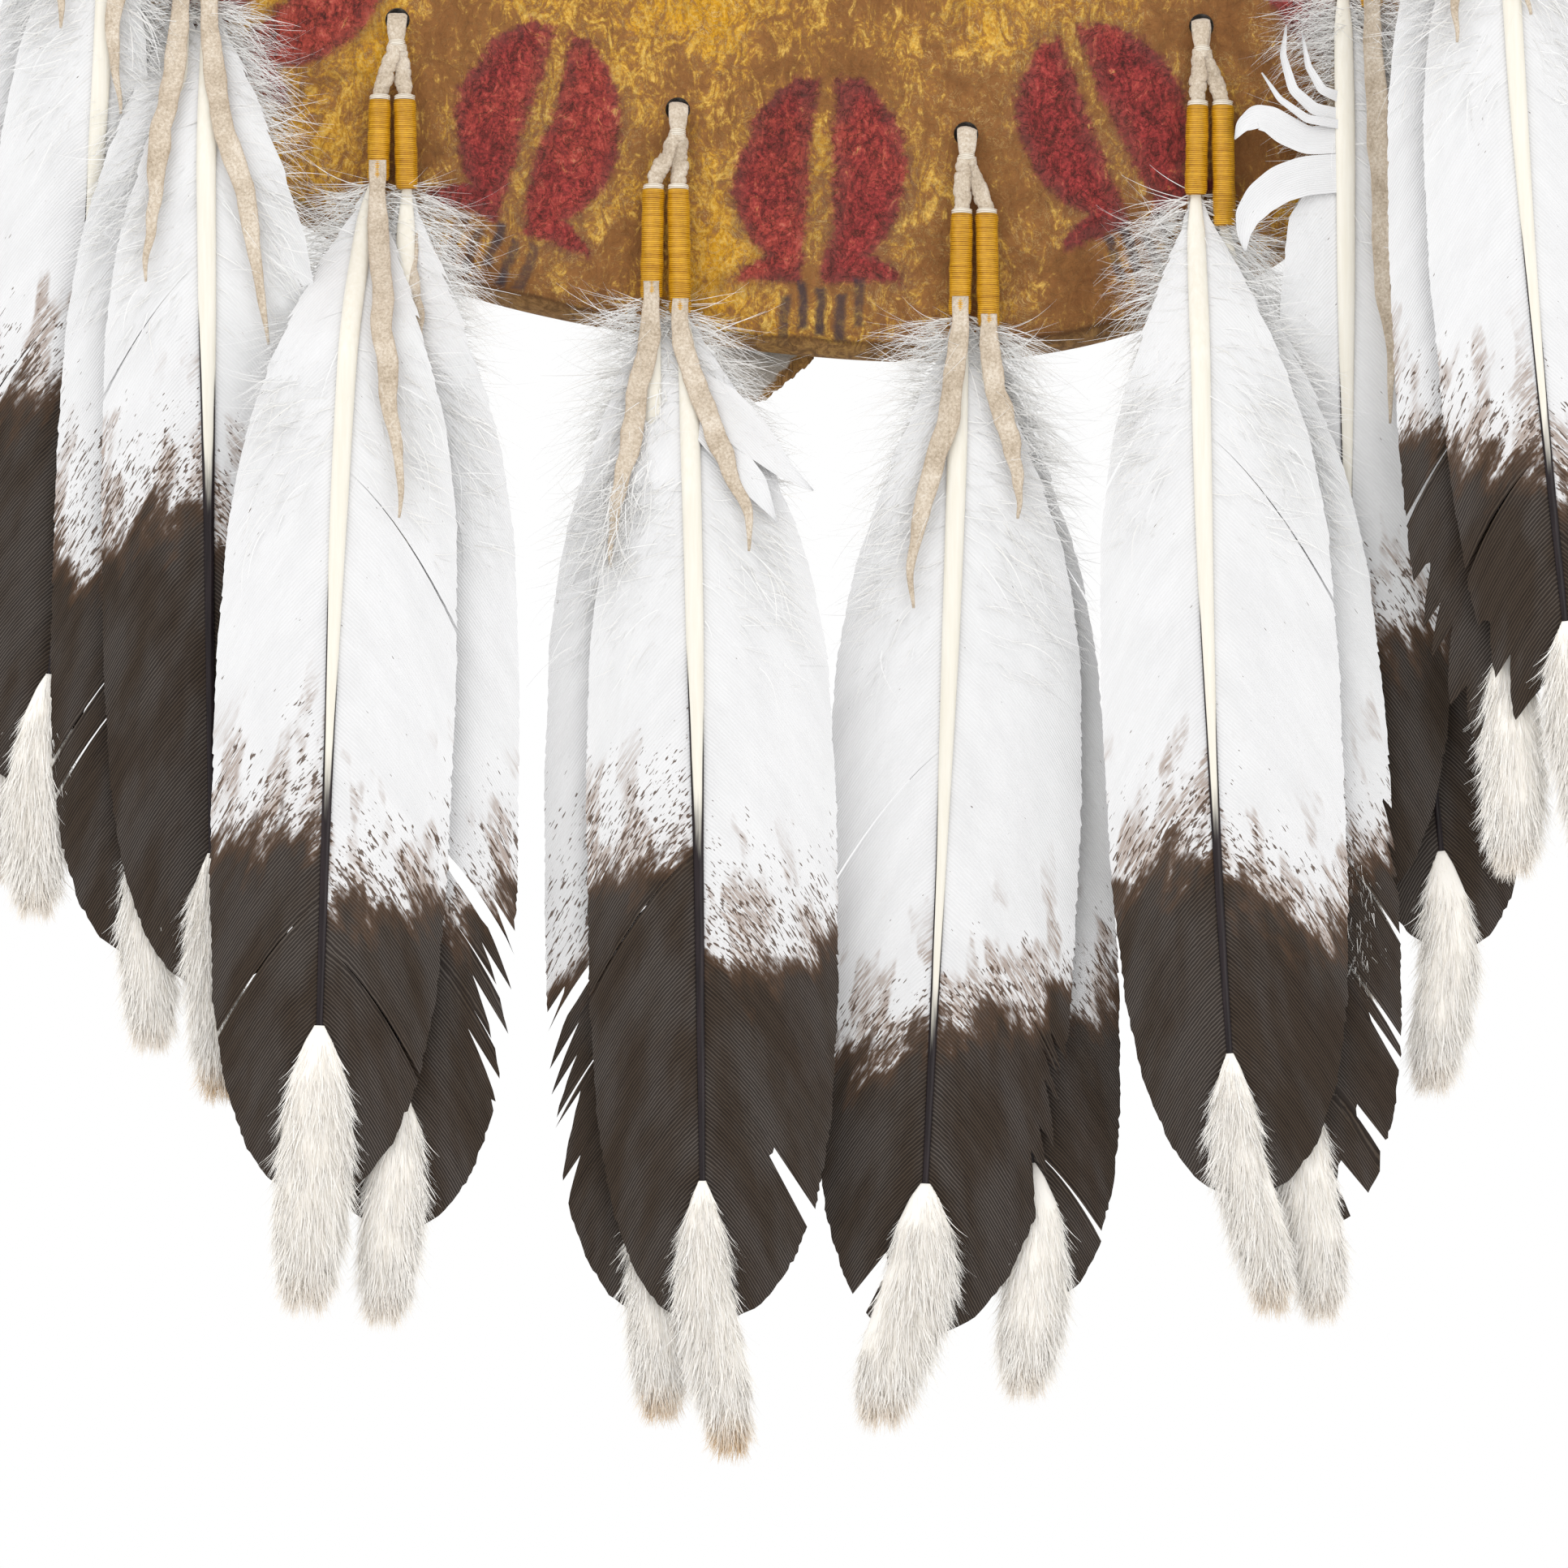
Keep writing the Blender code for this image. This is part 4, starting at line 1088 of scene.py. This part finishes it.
def make_down(drop, feather, side, word):
    """Loose barbs of down along the top of the shaft, and a few longer wisps where the tail lies buried in
    the down.
    """
    key = f"{drop.name}_{word}"
    random = seeded("down " + key)
    count = DOWN_BARBS
    start, tip = -WRAP_DROP - feather.wrap, -feather.reach
    share = random.beta(1.1, 2.0, count) * DOWN_SHARE
    z = start + 1 - (start - tip) * share
    half = random.choice([-1, 1], count)
    width = np.where(half < 0, feather.left, feather.right) * half_width(share + 0.04)
    inset = random.random(count) ** 0.6 * width * 0.8
    x = shaft_x(drop, feather, side, z) + half * inset
    depth = vane_depth(drop, feather, side, z) + random.uniform(-1.6, 1.3, count)
    roots = local_to_world(HOLES[drop.name], x, depth, z - inset * 0.5)
    bare = (half < 0) & (z < -58) if key == "g_left" else np.zeros(count, bool)
    tuft = np.floor(share * 60) * 2 + (half > 0)
    lift = np.sin(tuft * 78.233) * 16
    pitch = np.radians(random.normal(38, 14, count) + lift - 30 * (1 - share / DOWN_SHARE))
    ways = unit(np.stack([half * np.cos(pitch), random.normal(-0.10, 0.16, count), -np.sin(pitch)], -1))
    lengths = random.uniform(6, 19, count) * (1.15 - 1.6 * share) * np.where(bare, 0.05, 1.0) * MM
    strands(drop, f"down_{key}", roots, ways, lengths, random.uniform(0.14, 0.30, count) * MM, "down",
            steps=6, curl=0.34, droop=-0.22)
    if key in BURIED_TAILS:
        make_wisps(drop, feather, side, key)


def make_wisps(drop, feather, side, key):
    """Long wisps of down that cross in front of the strand's tail."""
    random = seeded("wisps " + key)
    _, _, x1, z1 = wrap_line(drop, feather, side)
    share = random.beta(1.2, 1.3, WISPS)
    z = z1 - 6.0 - feather.tail * 0.92 * share
    x = x1 + feather.sway * smooth(share) + random.normal(1.0, 3.2, WISPS)
    depth = np.maximum(WRAP_DEPTH, front_depth(drop, z)) + random.uniform(0.4, 1.6, WISPS)
    roots = local_to_world(HOLES[drop.name], x, depth, z)
    turn = np.radians(random.normal(-62, 26, WISPS))
    ways = unit(np.stack([-np.cos(turn), random.normal(-0.16, 0.05, WISPS), np.sin(turn)], -1))
    lengths = random.uniform(8, 17, WISPS) * MM
    strands(drop, f"wisps_{key}", roots, ways, lengths, random.uniform(0.16, 0.36, WISPS) * MM, "down",
            steps=7, curl=0.45)


def make_wrap(drop, feather, side, word):
    """Close turns of thread round the quill and the strand."""
    key = f"{drop.name}_{word}"
    x0, z0, x1, z1 = wrap_line(drop, feather, side)
    per_turn, sides = 4, 28
    rows = int((z0 - z1) / THREAD_PITCH * per_turn)
    share = np.linspace(0, 1, rows)[:, None]
    angle = np.linspace(0, math.tau, sides, endpoint=False)[None, :]
    turns = (z0 - z1) * share / THREAD_PITCH + angle / math.tau
    ridge = np.abs(np.sin(math.pi * turns))
    ends = np.clip(np.minimum(share, 1 - share) * (z0 - z1) / 1.2, 0, 1) ** 0.5
    swell = 0.10 * wobble(share * 30, 11, key) + 0.05 * wobble(angle * 4 + share * 9, 7, key)
    radius = WRAP_RADIUS - 0.32 + 0.24 * ridge + swell - 0.35 * (1 - ends)
    x = x0 + (x1 - x0) * share + radius * np.cos(angle)
    depth = WRAP_DEPTH + radius * np.sin(angle) + 0 * share
    z = z0 + (z1 - z0) * share + 0 * angle
    points = local_to_world(HOLES[drop.name], x, depth, z)
    # turn gives the thread colour its painted highlight on the ridges and painted shade between turns
    drop_piece(drop, f"binding_{key}", points, skin(points), "thread", [f"wrap_{key}"],
               {"turn": ridge.ravel()})


def strip_rings(path, halves, thick, sides, key):
    """A suede strip: flat rings with cut edges that wander."""
    place = np.arange(len(path))
    left = 1 + 0.09 * wobble(place, 17, key + "l")
    right = 1 + 0.09 * wobble(place, 13, key + "r")
    angle = np.linspace(0, math.tau, sides, endpoint=False)
    square = np.sign(np.cos(angle)) * np.abs(np.cos(angle)) ** 0.6
    low = np.sign(np.sin(angle)) * np.abs(np.sin(angle)) ** 0.7
    across = np.where(square[None, :] > 0, right[:, None], left[:, None]) * square * halves[:, None]
    curl = (across / halves[:, None]) ** 2 * 0.25 * halves[:, None]
    front = low[None, :] * thick - curl
    run = unit(np.gradient(path, axis=0))
    wide = unit(np.cross(run, np.array([0.0, 1.0, 0.0])))
    out = np.cross(wide, run)
    sign = np.sign(wide[:, :1])
    rings = path[:, None, :] + across[..., None] * (wide * sign)[:, None, :]
    rings = rings + front[..., None] * (out * sign)[:, None, :]
    return rings, np.tile(np.abs(square) ** 6, len(path))


def make_tail(drop, feather, side, word):
    """The loose end of a strand, below the binding."""
    key = f"{drop.name}_{word}"
    _, _, x1, z1 = wrap_line(drop, feather, side)
    share = np.linspace(-0.06, 1, 60)
    z = z1 - feather.tail * share
    sway = feather.sway * smooth(share) + 0.8 * wobble(share * 40, 27, key) * smooth(share * 2)
    ahead = front_depth(drop, z)
    if feather.shown:
        sunk = 2.3 * smooth((share - 0.3) / 0.3) if key in BURIED_TAILS else 0.0
        depth = np.maximum(WRAP_DEPTH + 1.6 + 1.3 * smooth(share * 8), ahead + TAIL_AHEAD - 0.6 - sunk)
    else:
        depth = ahead - PAIR_OFFSET - 0.4 * side
    half = 2.75 * np.minimum(1.0, 2.0 * (1.06 - share)) * (0.78 + 0.22 * smooth(share * 6))
    path = local_to_world(HOLES[drop.name], x1 + sway, depth, z)
    rings, edge = strip_rings(path, half * MM, 0.5 * MM, STRIP_SIDES, key)
    drop_piece(drop, f"tail_{key}", rings, skin(rings), "suede", (), {"edge": edge})


# The neck of a thong: points across, forwards and up, and its half width and half thickness by height.
NECK_LINE = [(0, -10.0, 0.6), (0, -4, 0.6), (0, -1.2, 0.9), (0, 0.6, 1.0), (0, 2.2, 0.5), (0, 3.1, -1.4),
             (0, 3.4, -3.9), (0, 3.6, -6.2), (0, 3.9, -8.6)]
NECK_HEIGHTS = [-8.6, -6.2, -4, -1.0, 0.8]
NECK_WIDTHS = [2.1, 1.7, 2.2, 2.5, 2.5]
NECK_THICKNESSES = [1.4, 1.2, 1.2, 1.0, 1.0]


def make_neck(drop):
    """The pad out of the hole and the bound neck below it."""
    name = drop.name
    random = seeded("neck " + name)
    at = np.linspace(0, len(NECK_LINE) - 1, 50)
    line = np.stack([np.interp(at, range(len(NECK_LINE)), [k[i] for k in NECK_LINE]) for i in range(3)], -1)
    relax(line, 4)
    wide = np.interp(line[:, 2], NECK_HEIGHTS, NECK_WIDTHS)
    thick = np.interp(line[:, 2], NECK_HEIGHTS, NECK_THICKNESSES)
    angle = np.linspace(0, math.tau, TUBE_SIDES, endpoint=False)
    fold = 1 + 0.10 * np.cos(3 * angle[None, :] + at[:, None] * 0.16 + random.uniform(0, 6))
    fold = fold + 0.06 * wobble(angle[None, :] * 9 + at[:, None], 11, name)
    path = local_to_world(HOLES[name], line[:, 0], line[:, 1], line[:, 2])
    rings = tube_rings(path, wide * MM, thick * MM, TUBE_SIDES, 0.0, fold)
    # painted shade on the part of the neck that lies inside the hole
    grime = np.repeat(smooth((-0.6 - line[:, 1]) / 1.2) * smooth((line[:, 1] + 6.0) / 2.0), TUBE_SIDES)
    drop_piece(drop, f"neck_{name}", rings, skin(rings), "suede", [f"thong_{name}"],
               {"edge": np.zeros(len(rings) * TUBE_SIDES), "grime": grime})


def make_knot(drop):
    """The knot behind the hide."""
    knot = bmesh.new()
    bmesh.ops.create_icosphere(knot, subdivisions=3, radius=KNOT_RADIUS)
    ball = np.array([v.co for v in knot.verts])
    faces = [[v.index for v in f.verts] for f in knot.faces]
    knot.free()
    ball *= (1 + 0.10 * np.sin(ball[:, :1] * 1.4 + ball[:, 2:] * 0.9) + 0.05 * np.sin(ball[:, 1:2] * 3))
    depth = -(HIDE / MM + KNOT_BEHIND) + ball[:, 1]
    points = local_to_world(HOLES[drop.name], ball[:, 0], depth, ball[:, 2])
    # painted shade on the knot's front half, which faces the hole
    drop_piece(drop, f"knot_{drop.name}", points, faces, "suede", (),
               {"edge": np.zeros(len(ball)), "grime": smooth((ball[:, 1] + 0.5) / 1.5)})


def make_thong(drop):
    """The neck, the knot and the two twisted strands, with their loose ends."""
    make_neck(drop)
    make_knot(drop)
    make_thread_ring(drop, f"tie_{drop.name}", drop.name, 0.0, TIE_DEPTH, TIE_Z, 1.95, 1.45, 1.7)
    for side, word, feather in pair(drop):
        make_strand(drop, feather, side, word)
        make_tail(drop, feather, side, word)


def make_thread_ring(drop, name, seed, x, depth, z, wide, thick, height):
    """A few turns of pale thread."""
    rows, sides = 26, 24
    share = np.linspace(0, 1, rows)[:, None]
    angle = np.linspace(0, math.tau, sides, endpoint=False)[None, :]
    ridge = np.abs(np.sin(math.pi * (share * height / THREAD_PITCH + angle / math.tau)))
    ends = np.clip(np.minimum(share, 1 - share) * 6, 0, 1) ** 0.5
    grown = 0.22 * ridge - 0.5 * (1 - ends) + 0.06 * wobble(angle * 3 + share * 5, 7, seed)
    across, forwards = x + (wide + grown) * np.cos(angle), depth + (thick + grown) * np.sin(angle)
    up = z + height * (0.5 - share) + 0.25 * np.sin(angle)
    points = local_to_world(HOLES[drop.name], across, forwards, up)
    # turn gives the thread colour its painted highlight on the ridges and painted shade between turns
    drop_piece(drop, name, points, skin(points), "pale_thread", (), {"turn": ridge.ravel()})


def make_strand(drop, feather, side, word):
    """One strand, twisting from the neck down to its binding, with a band of thread at the end."""
    key = f"{drop.name}_{word}"
    x0, z0, _, _ = wrap_line(drop, feather, side)
    share = np.linspace(0, 1, 44)
    x = side * 0.9 + (x0 - side * 0.9) * smooth(share * 1.05) + 0.25 * wobble(share * 20, 9, key)
    z = -6.4 + (z0 - 1.2 + 6.4) * share
    depth = 3.8 + 0.9 * np.sin(share * math.pi) * (1 if side < 0 else -0.2) + 1.6 * share
    twist = side * 0.5 * np.sin(share * 5.0) + 0.25 * wobble(share * 20, 13, key)
    wide = np.interp(share, [0, 0.2, 0.55, 0.8, 1], [1.4, 2.1, 2.3, 2.0, 1.8])
    thick = np.interp(share, [0, 0.25, 0.8, 1], [0.9, 0.75, 0.8, 1.2])
    angle = np.linspace(0, math.tau, STRIP_SIDES, endpoint=False)
    ruffle = 1 + 0.09 * wobble(share[:, None] * 44 + angle[None, :] * 2, 8, key)
    path = local_to_world(HOLES[drop.name], x, depth, z)
    rings = tube_rings(path, wide * MM, thick * MM, STRIP_SIDES, twist, ruffle)
    edge = np.tile(np.abs(np.cos(angle)) ** 8, len(share))
    drop_piece(drop, f"strand_{key}", rings, skin(rings), "suede", (), {"edge": edge})
    make_thread_ring(drop, f"band_{key}", key, x0, WRAP_DEPTH + 0.1, z0 + 0.5, 2.5, 2.3, 1.4)


def fur_line(drop, feather, side, share):
    """Middle of the fur tip, from its top at 0 to its end at 1."""
    top = -(feather.reach + feather.hang) + feather.fur
    z = top - feather.fur * share
    vane_z = np.maximum(z, -feather.reach)
    x = shaft_x(drop, feather, side, vane_z) + feather.lean * smooth((share - 0.3) / 0.7)
    depth = vane_depth(drop, feather, side, vane_z)
    return x, depth + (FUR_AHEAD if pair_offset(drop, side) > 0 else FUR_BEHIND), z


def fur_girth(feather, share):
    """Half width of the fur along its length."""
    return feather.girth / 2 * np.interp(share, [0, 0.06, 0.18, 0.42, 0.72, 0.9, 1.0],
                                         [0.14, 0.42, 0.78, 1.0, 0.98, 0.66, 0.2])


def make_pelt(drop, feather, side, key):
    """The skin that the fur grows on."""
    share = np.linspace(0, 0.93, 40)
    girth = fur_girth(feather, share) * PELT_SHARE
    path = local_to_world(HOLES[drop.name], *fur_line(drop, feather, side, share))
    rings = tube_rings(path, girth * MM, np.minimum(girth * 0.42, PELT_HALF) * MM, PELT_SIDES)
    count = len(rings) * PELT_SIDES
    drop_piece(drop, f"pelt_{key}", rings, skin(rings), "pelt", [f"fur_{key}"],
               {"shade": np.full(count, 0.3), "tip": np.full(count, 0.3), "mark": np.zeros(count)})


def make_fur(drop, feather, side, word):
    """A fur tip: the skin, and hair that lies down it in clumps."""
    key = f"{drop.name}_{word}"
    make_pelt(drop, feather, side, key)
    random = seeded("fur " + key)
    count = FUR_HAIRS
    share = random.random(count) ** 0.9 * 0.97
    angle = random.uniform(0, math.tau, count)
    x, depth, z = fur_line(drop, feather, side, share)
    girth = fur_girth(feather, share) * ROOT_SHARE
    out = np.stack([np.cos(angle), np.sin(angle)], -1)
    depth = depth + out[:, 1] * np.minimum(girth * 0.42, PELT_HALF)
    roots = local_to_world(HOLES[drop.name], x + out[:, 0] * girth, depth, z)
    clump = np.floor(share * 13 + np.sin(angle * 3) * 0.4) * 7 + np.floor(angle / math.tau * 9)
    lean = np.sin(clump * 12.9898) * 0.22
    flare = np.clip(random.normal(0.28, 0.10, count), 0.08, 0.8)
    flare = flare * np.interp(share, [0, 0.15, 0.9, 1], [0.4, 1, 0.8, 0.4])
    forward = 0.7 if pair_offset(drop, side) > 0 else 0.2
    ways = unit(np.stack([out[:, 0] * flare + lean * 0.5 + random.normal(0, 0.07, count),
                          -out[:, 1] * flare * forward + random.normal(0, 0.07, count) * forward,
                          -np.ones(count)], -1))
    lengths = random.uniform(5.0, 10.0, count) * np.interp(share, [0, 0.12, 0.8, 1.0], [0.55, 1.0, 1.0, 0.7])
    mark = smooth((share - 0.80) / 0.18) * TAN_ENDS.get(key, 0.25) * random.uniform(0.3, 1.0, count)
    strands(drop, f"hair_{key}", roots, ways, lengths * MM, random.uniform(0.16, 0.32, count) * MM, "fur",
            steps=4, curl=0.14, values={"mark": mark})


# ---- Assembly ----

HOLES = {joint["child"][-1]: Vector(joint["pos_m"]) for joint in frame["joints"]}
MATERIALS = {
    "vane": vane_material(),
    "shaft": shaft_material(),
    "down": hair_material("feather_down", (0.82, 0.82, 0.81), (0.86, 0.86, 0.86)),
    "fur": hair_material("fur_hair", (0.93, 0.90, 0.85), (0.97, 0.955, 0.93), (0.62, 0.40, 0.16)),
    "pelt": hair_material("fur_pelt", (0.95, 0.92, 0.87), (0.95, 0.92, 0.87), (0.62, 0.40, 0.16)),
    "suede": suede_material(),
    "thread": thread_material("ochre_thread_turns", (0.16, 0.055, 0.0), (0.50, 0.225, 0.002),
                              (0.80, 0.46, 0.035)),
    "pale_thread": thread_material("pale_thread_turns", (0.42, 0.34, 0.25), (0.70, 0.63, 0.52),
                                   (0.86, 0.82, 0.74)),
}


def make_drop(drop):
    make_thong(drop)
    for side, word, feather in pair(drop):
        make_wrap(drop, feather, side, word)
        make_vane(drop, feather, side, word)
        make_shaft(drop, feather, side, word)
        for index, band in enumerate(LOOSE_BANDS.get(f"{drop.name}_{word}", [])):
            name = f"loose_band_{drop.name}_{word}_{index}"
            make_loose_band(name, drop, feather, side, index, band)
        make_down(drop, feather, side, word)
        make_fur(drop, feather, side, word)


def repaint(node, material):
    """Gives a CAD node that stays in view its look."""
    mesh = frame["nodes"][node].data
    mesh.materials.clear()
    mesh.materials.append(material)


# ---- Stage, light and camera ----

VIEW_CENTRE = (-8.2 * MM, -562.3 * MM)
VIEW_WIDTH = 405.7 * MM
VIEW_DISTANCE = 2.2
SENSOR = 36.0


def make_camera():
    data = bpy.data.cameras.new("camera")
    data.sensor_width = SENSOR
    data.lens = SENSOR * VIEW_DISTANCE / VIEW_WIDTH
    data.clip_end = 20.0
    camera = bpy.data.objects.new("camera", data)
    camera.location = (VIEW_CENTRE[0], FACE_Y - VIEW_DISTANCE, VIEW_CENTRE[1])
    camera.rotation_euler = (math.radians(90), 0, 0)
    bpy.context.scene.collection.objects.link(camera)
    bpy.context.scene.camera = camera


def area_light(name, place, target, size, power):
    data = bpy.data.lights.new(name, "AREA")
    data.size, data.energy = size, power
    light = bpy.data.objects.new(name, data)
    light.location = place
    light.rotation_euler = (Vector(target) - Vector(place)).to_track_quat("-Z", "Y").to_euler()
    bpy.context.scene.collection.objects.link(light)


def make_stage():
    world = bpy.data.worlds.new("studio")
    world.use_nodes = True
    world.node_tree.nodes["Background"].inputs["Color"].default_value = (1.0, 1.0, 1.0, 1.0)
    world.node_tree.nodes["Background"].inputs["Strength"].default_value = 1.0
    bpy.context.scene.world = world
    middle = (0.0, 0.0, -0.45)
    area_light("key", (-0.9, -1.5, 0.75), middle, 1.5, 12.5)
    area_light("fill", (1.0, -1.9, -0.5), middle, 1.2, 7.0)
    mesh = bpy.data.meshes.new("floor")
    half, near, far, level = 0.9, -0.9, 0.3, -0.80
    mesh.from_pydata([(-half, near, level), (half, near, level), (half, far, level), (-half, far, level)], [],
                     [(0, 1, 2, 3)])
    graph = Graph("floor_paper")
    shade = graph.noise(graph.object_place(), 30.0, 3.0)
    mesh.materials.append(graph.finish(graph.mix(shade, (0.84, 0.84, 0.84), (0.88, 0.88, 0.88)), 0.9))
    floor = bpy.data.objects.new("floor", mesh)
    bpy.context.scene.collection.objects.link(floor)


def main():
    bpy.context.scene.view_settings.view_transform = "Standard"
    make_camera()
    make_stage()
    hide = rawhide_material()
    make_hide(hide)
    make_tab(hide)
    make_lace(lace_material())
    repaint("hoop", wood_material())
    for drop in DROPS:
        make_drop(drop)


main()
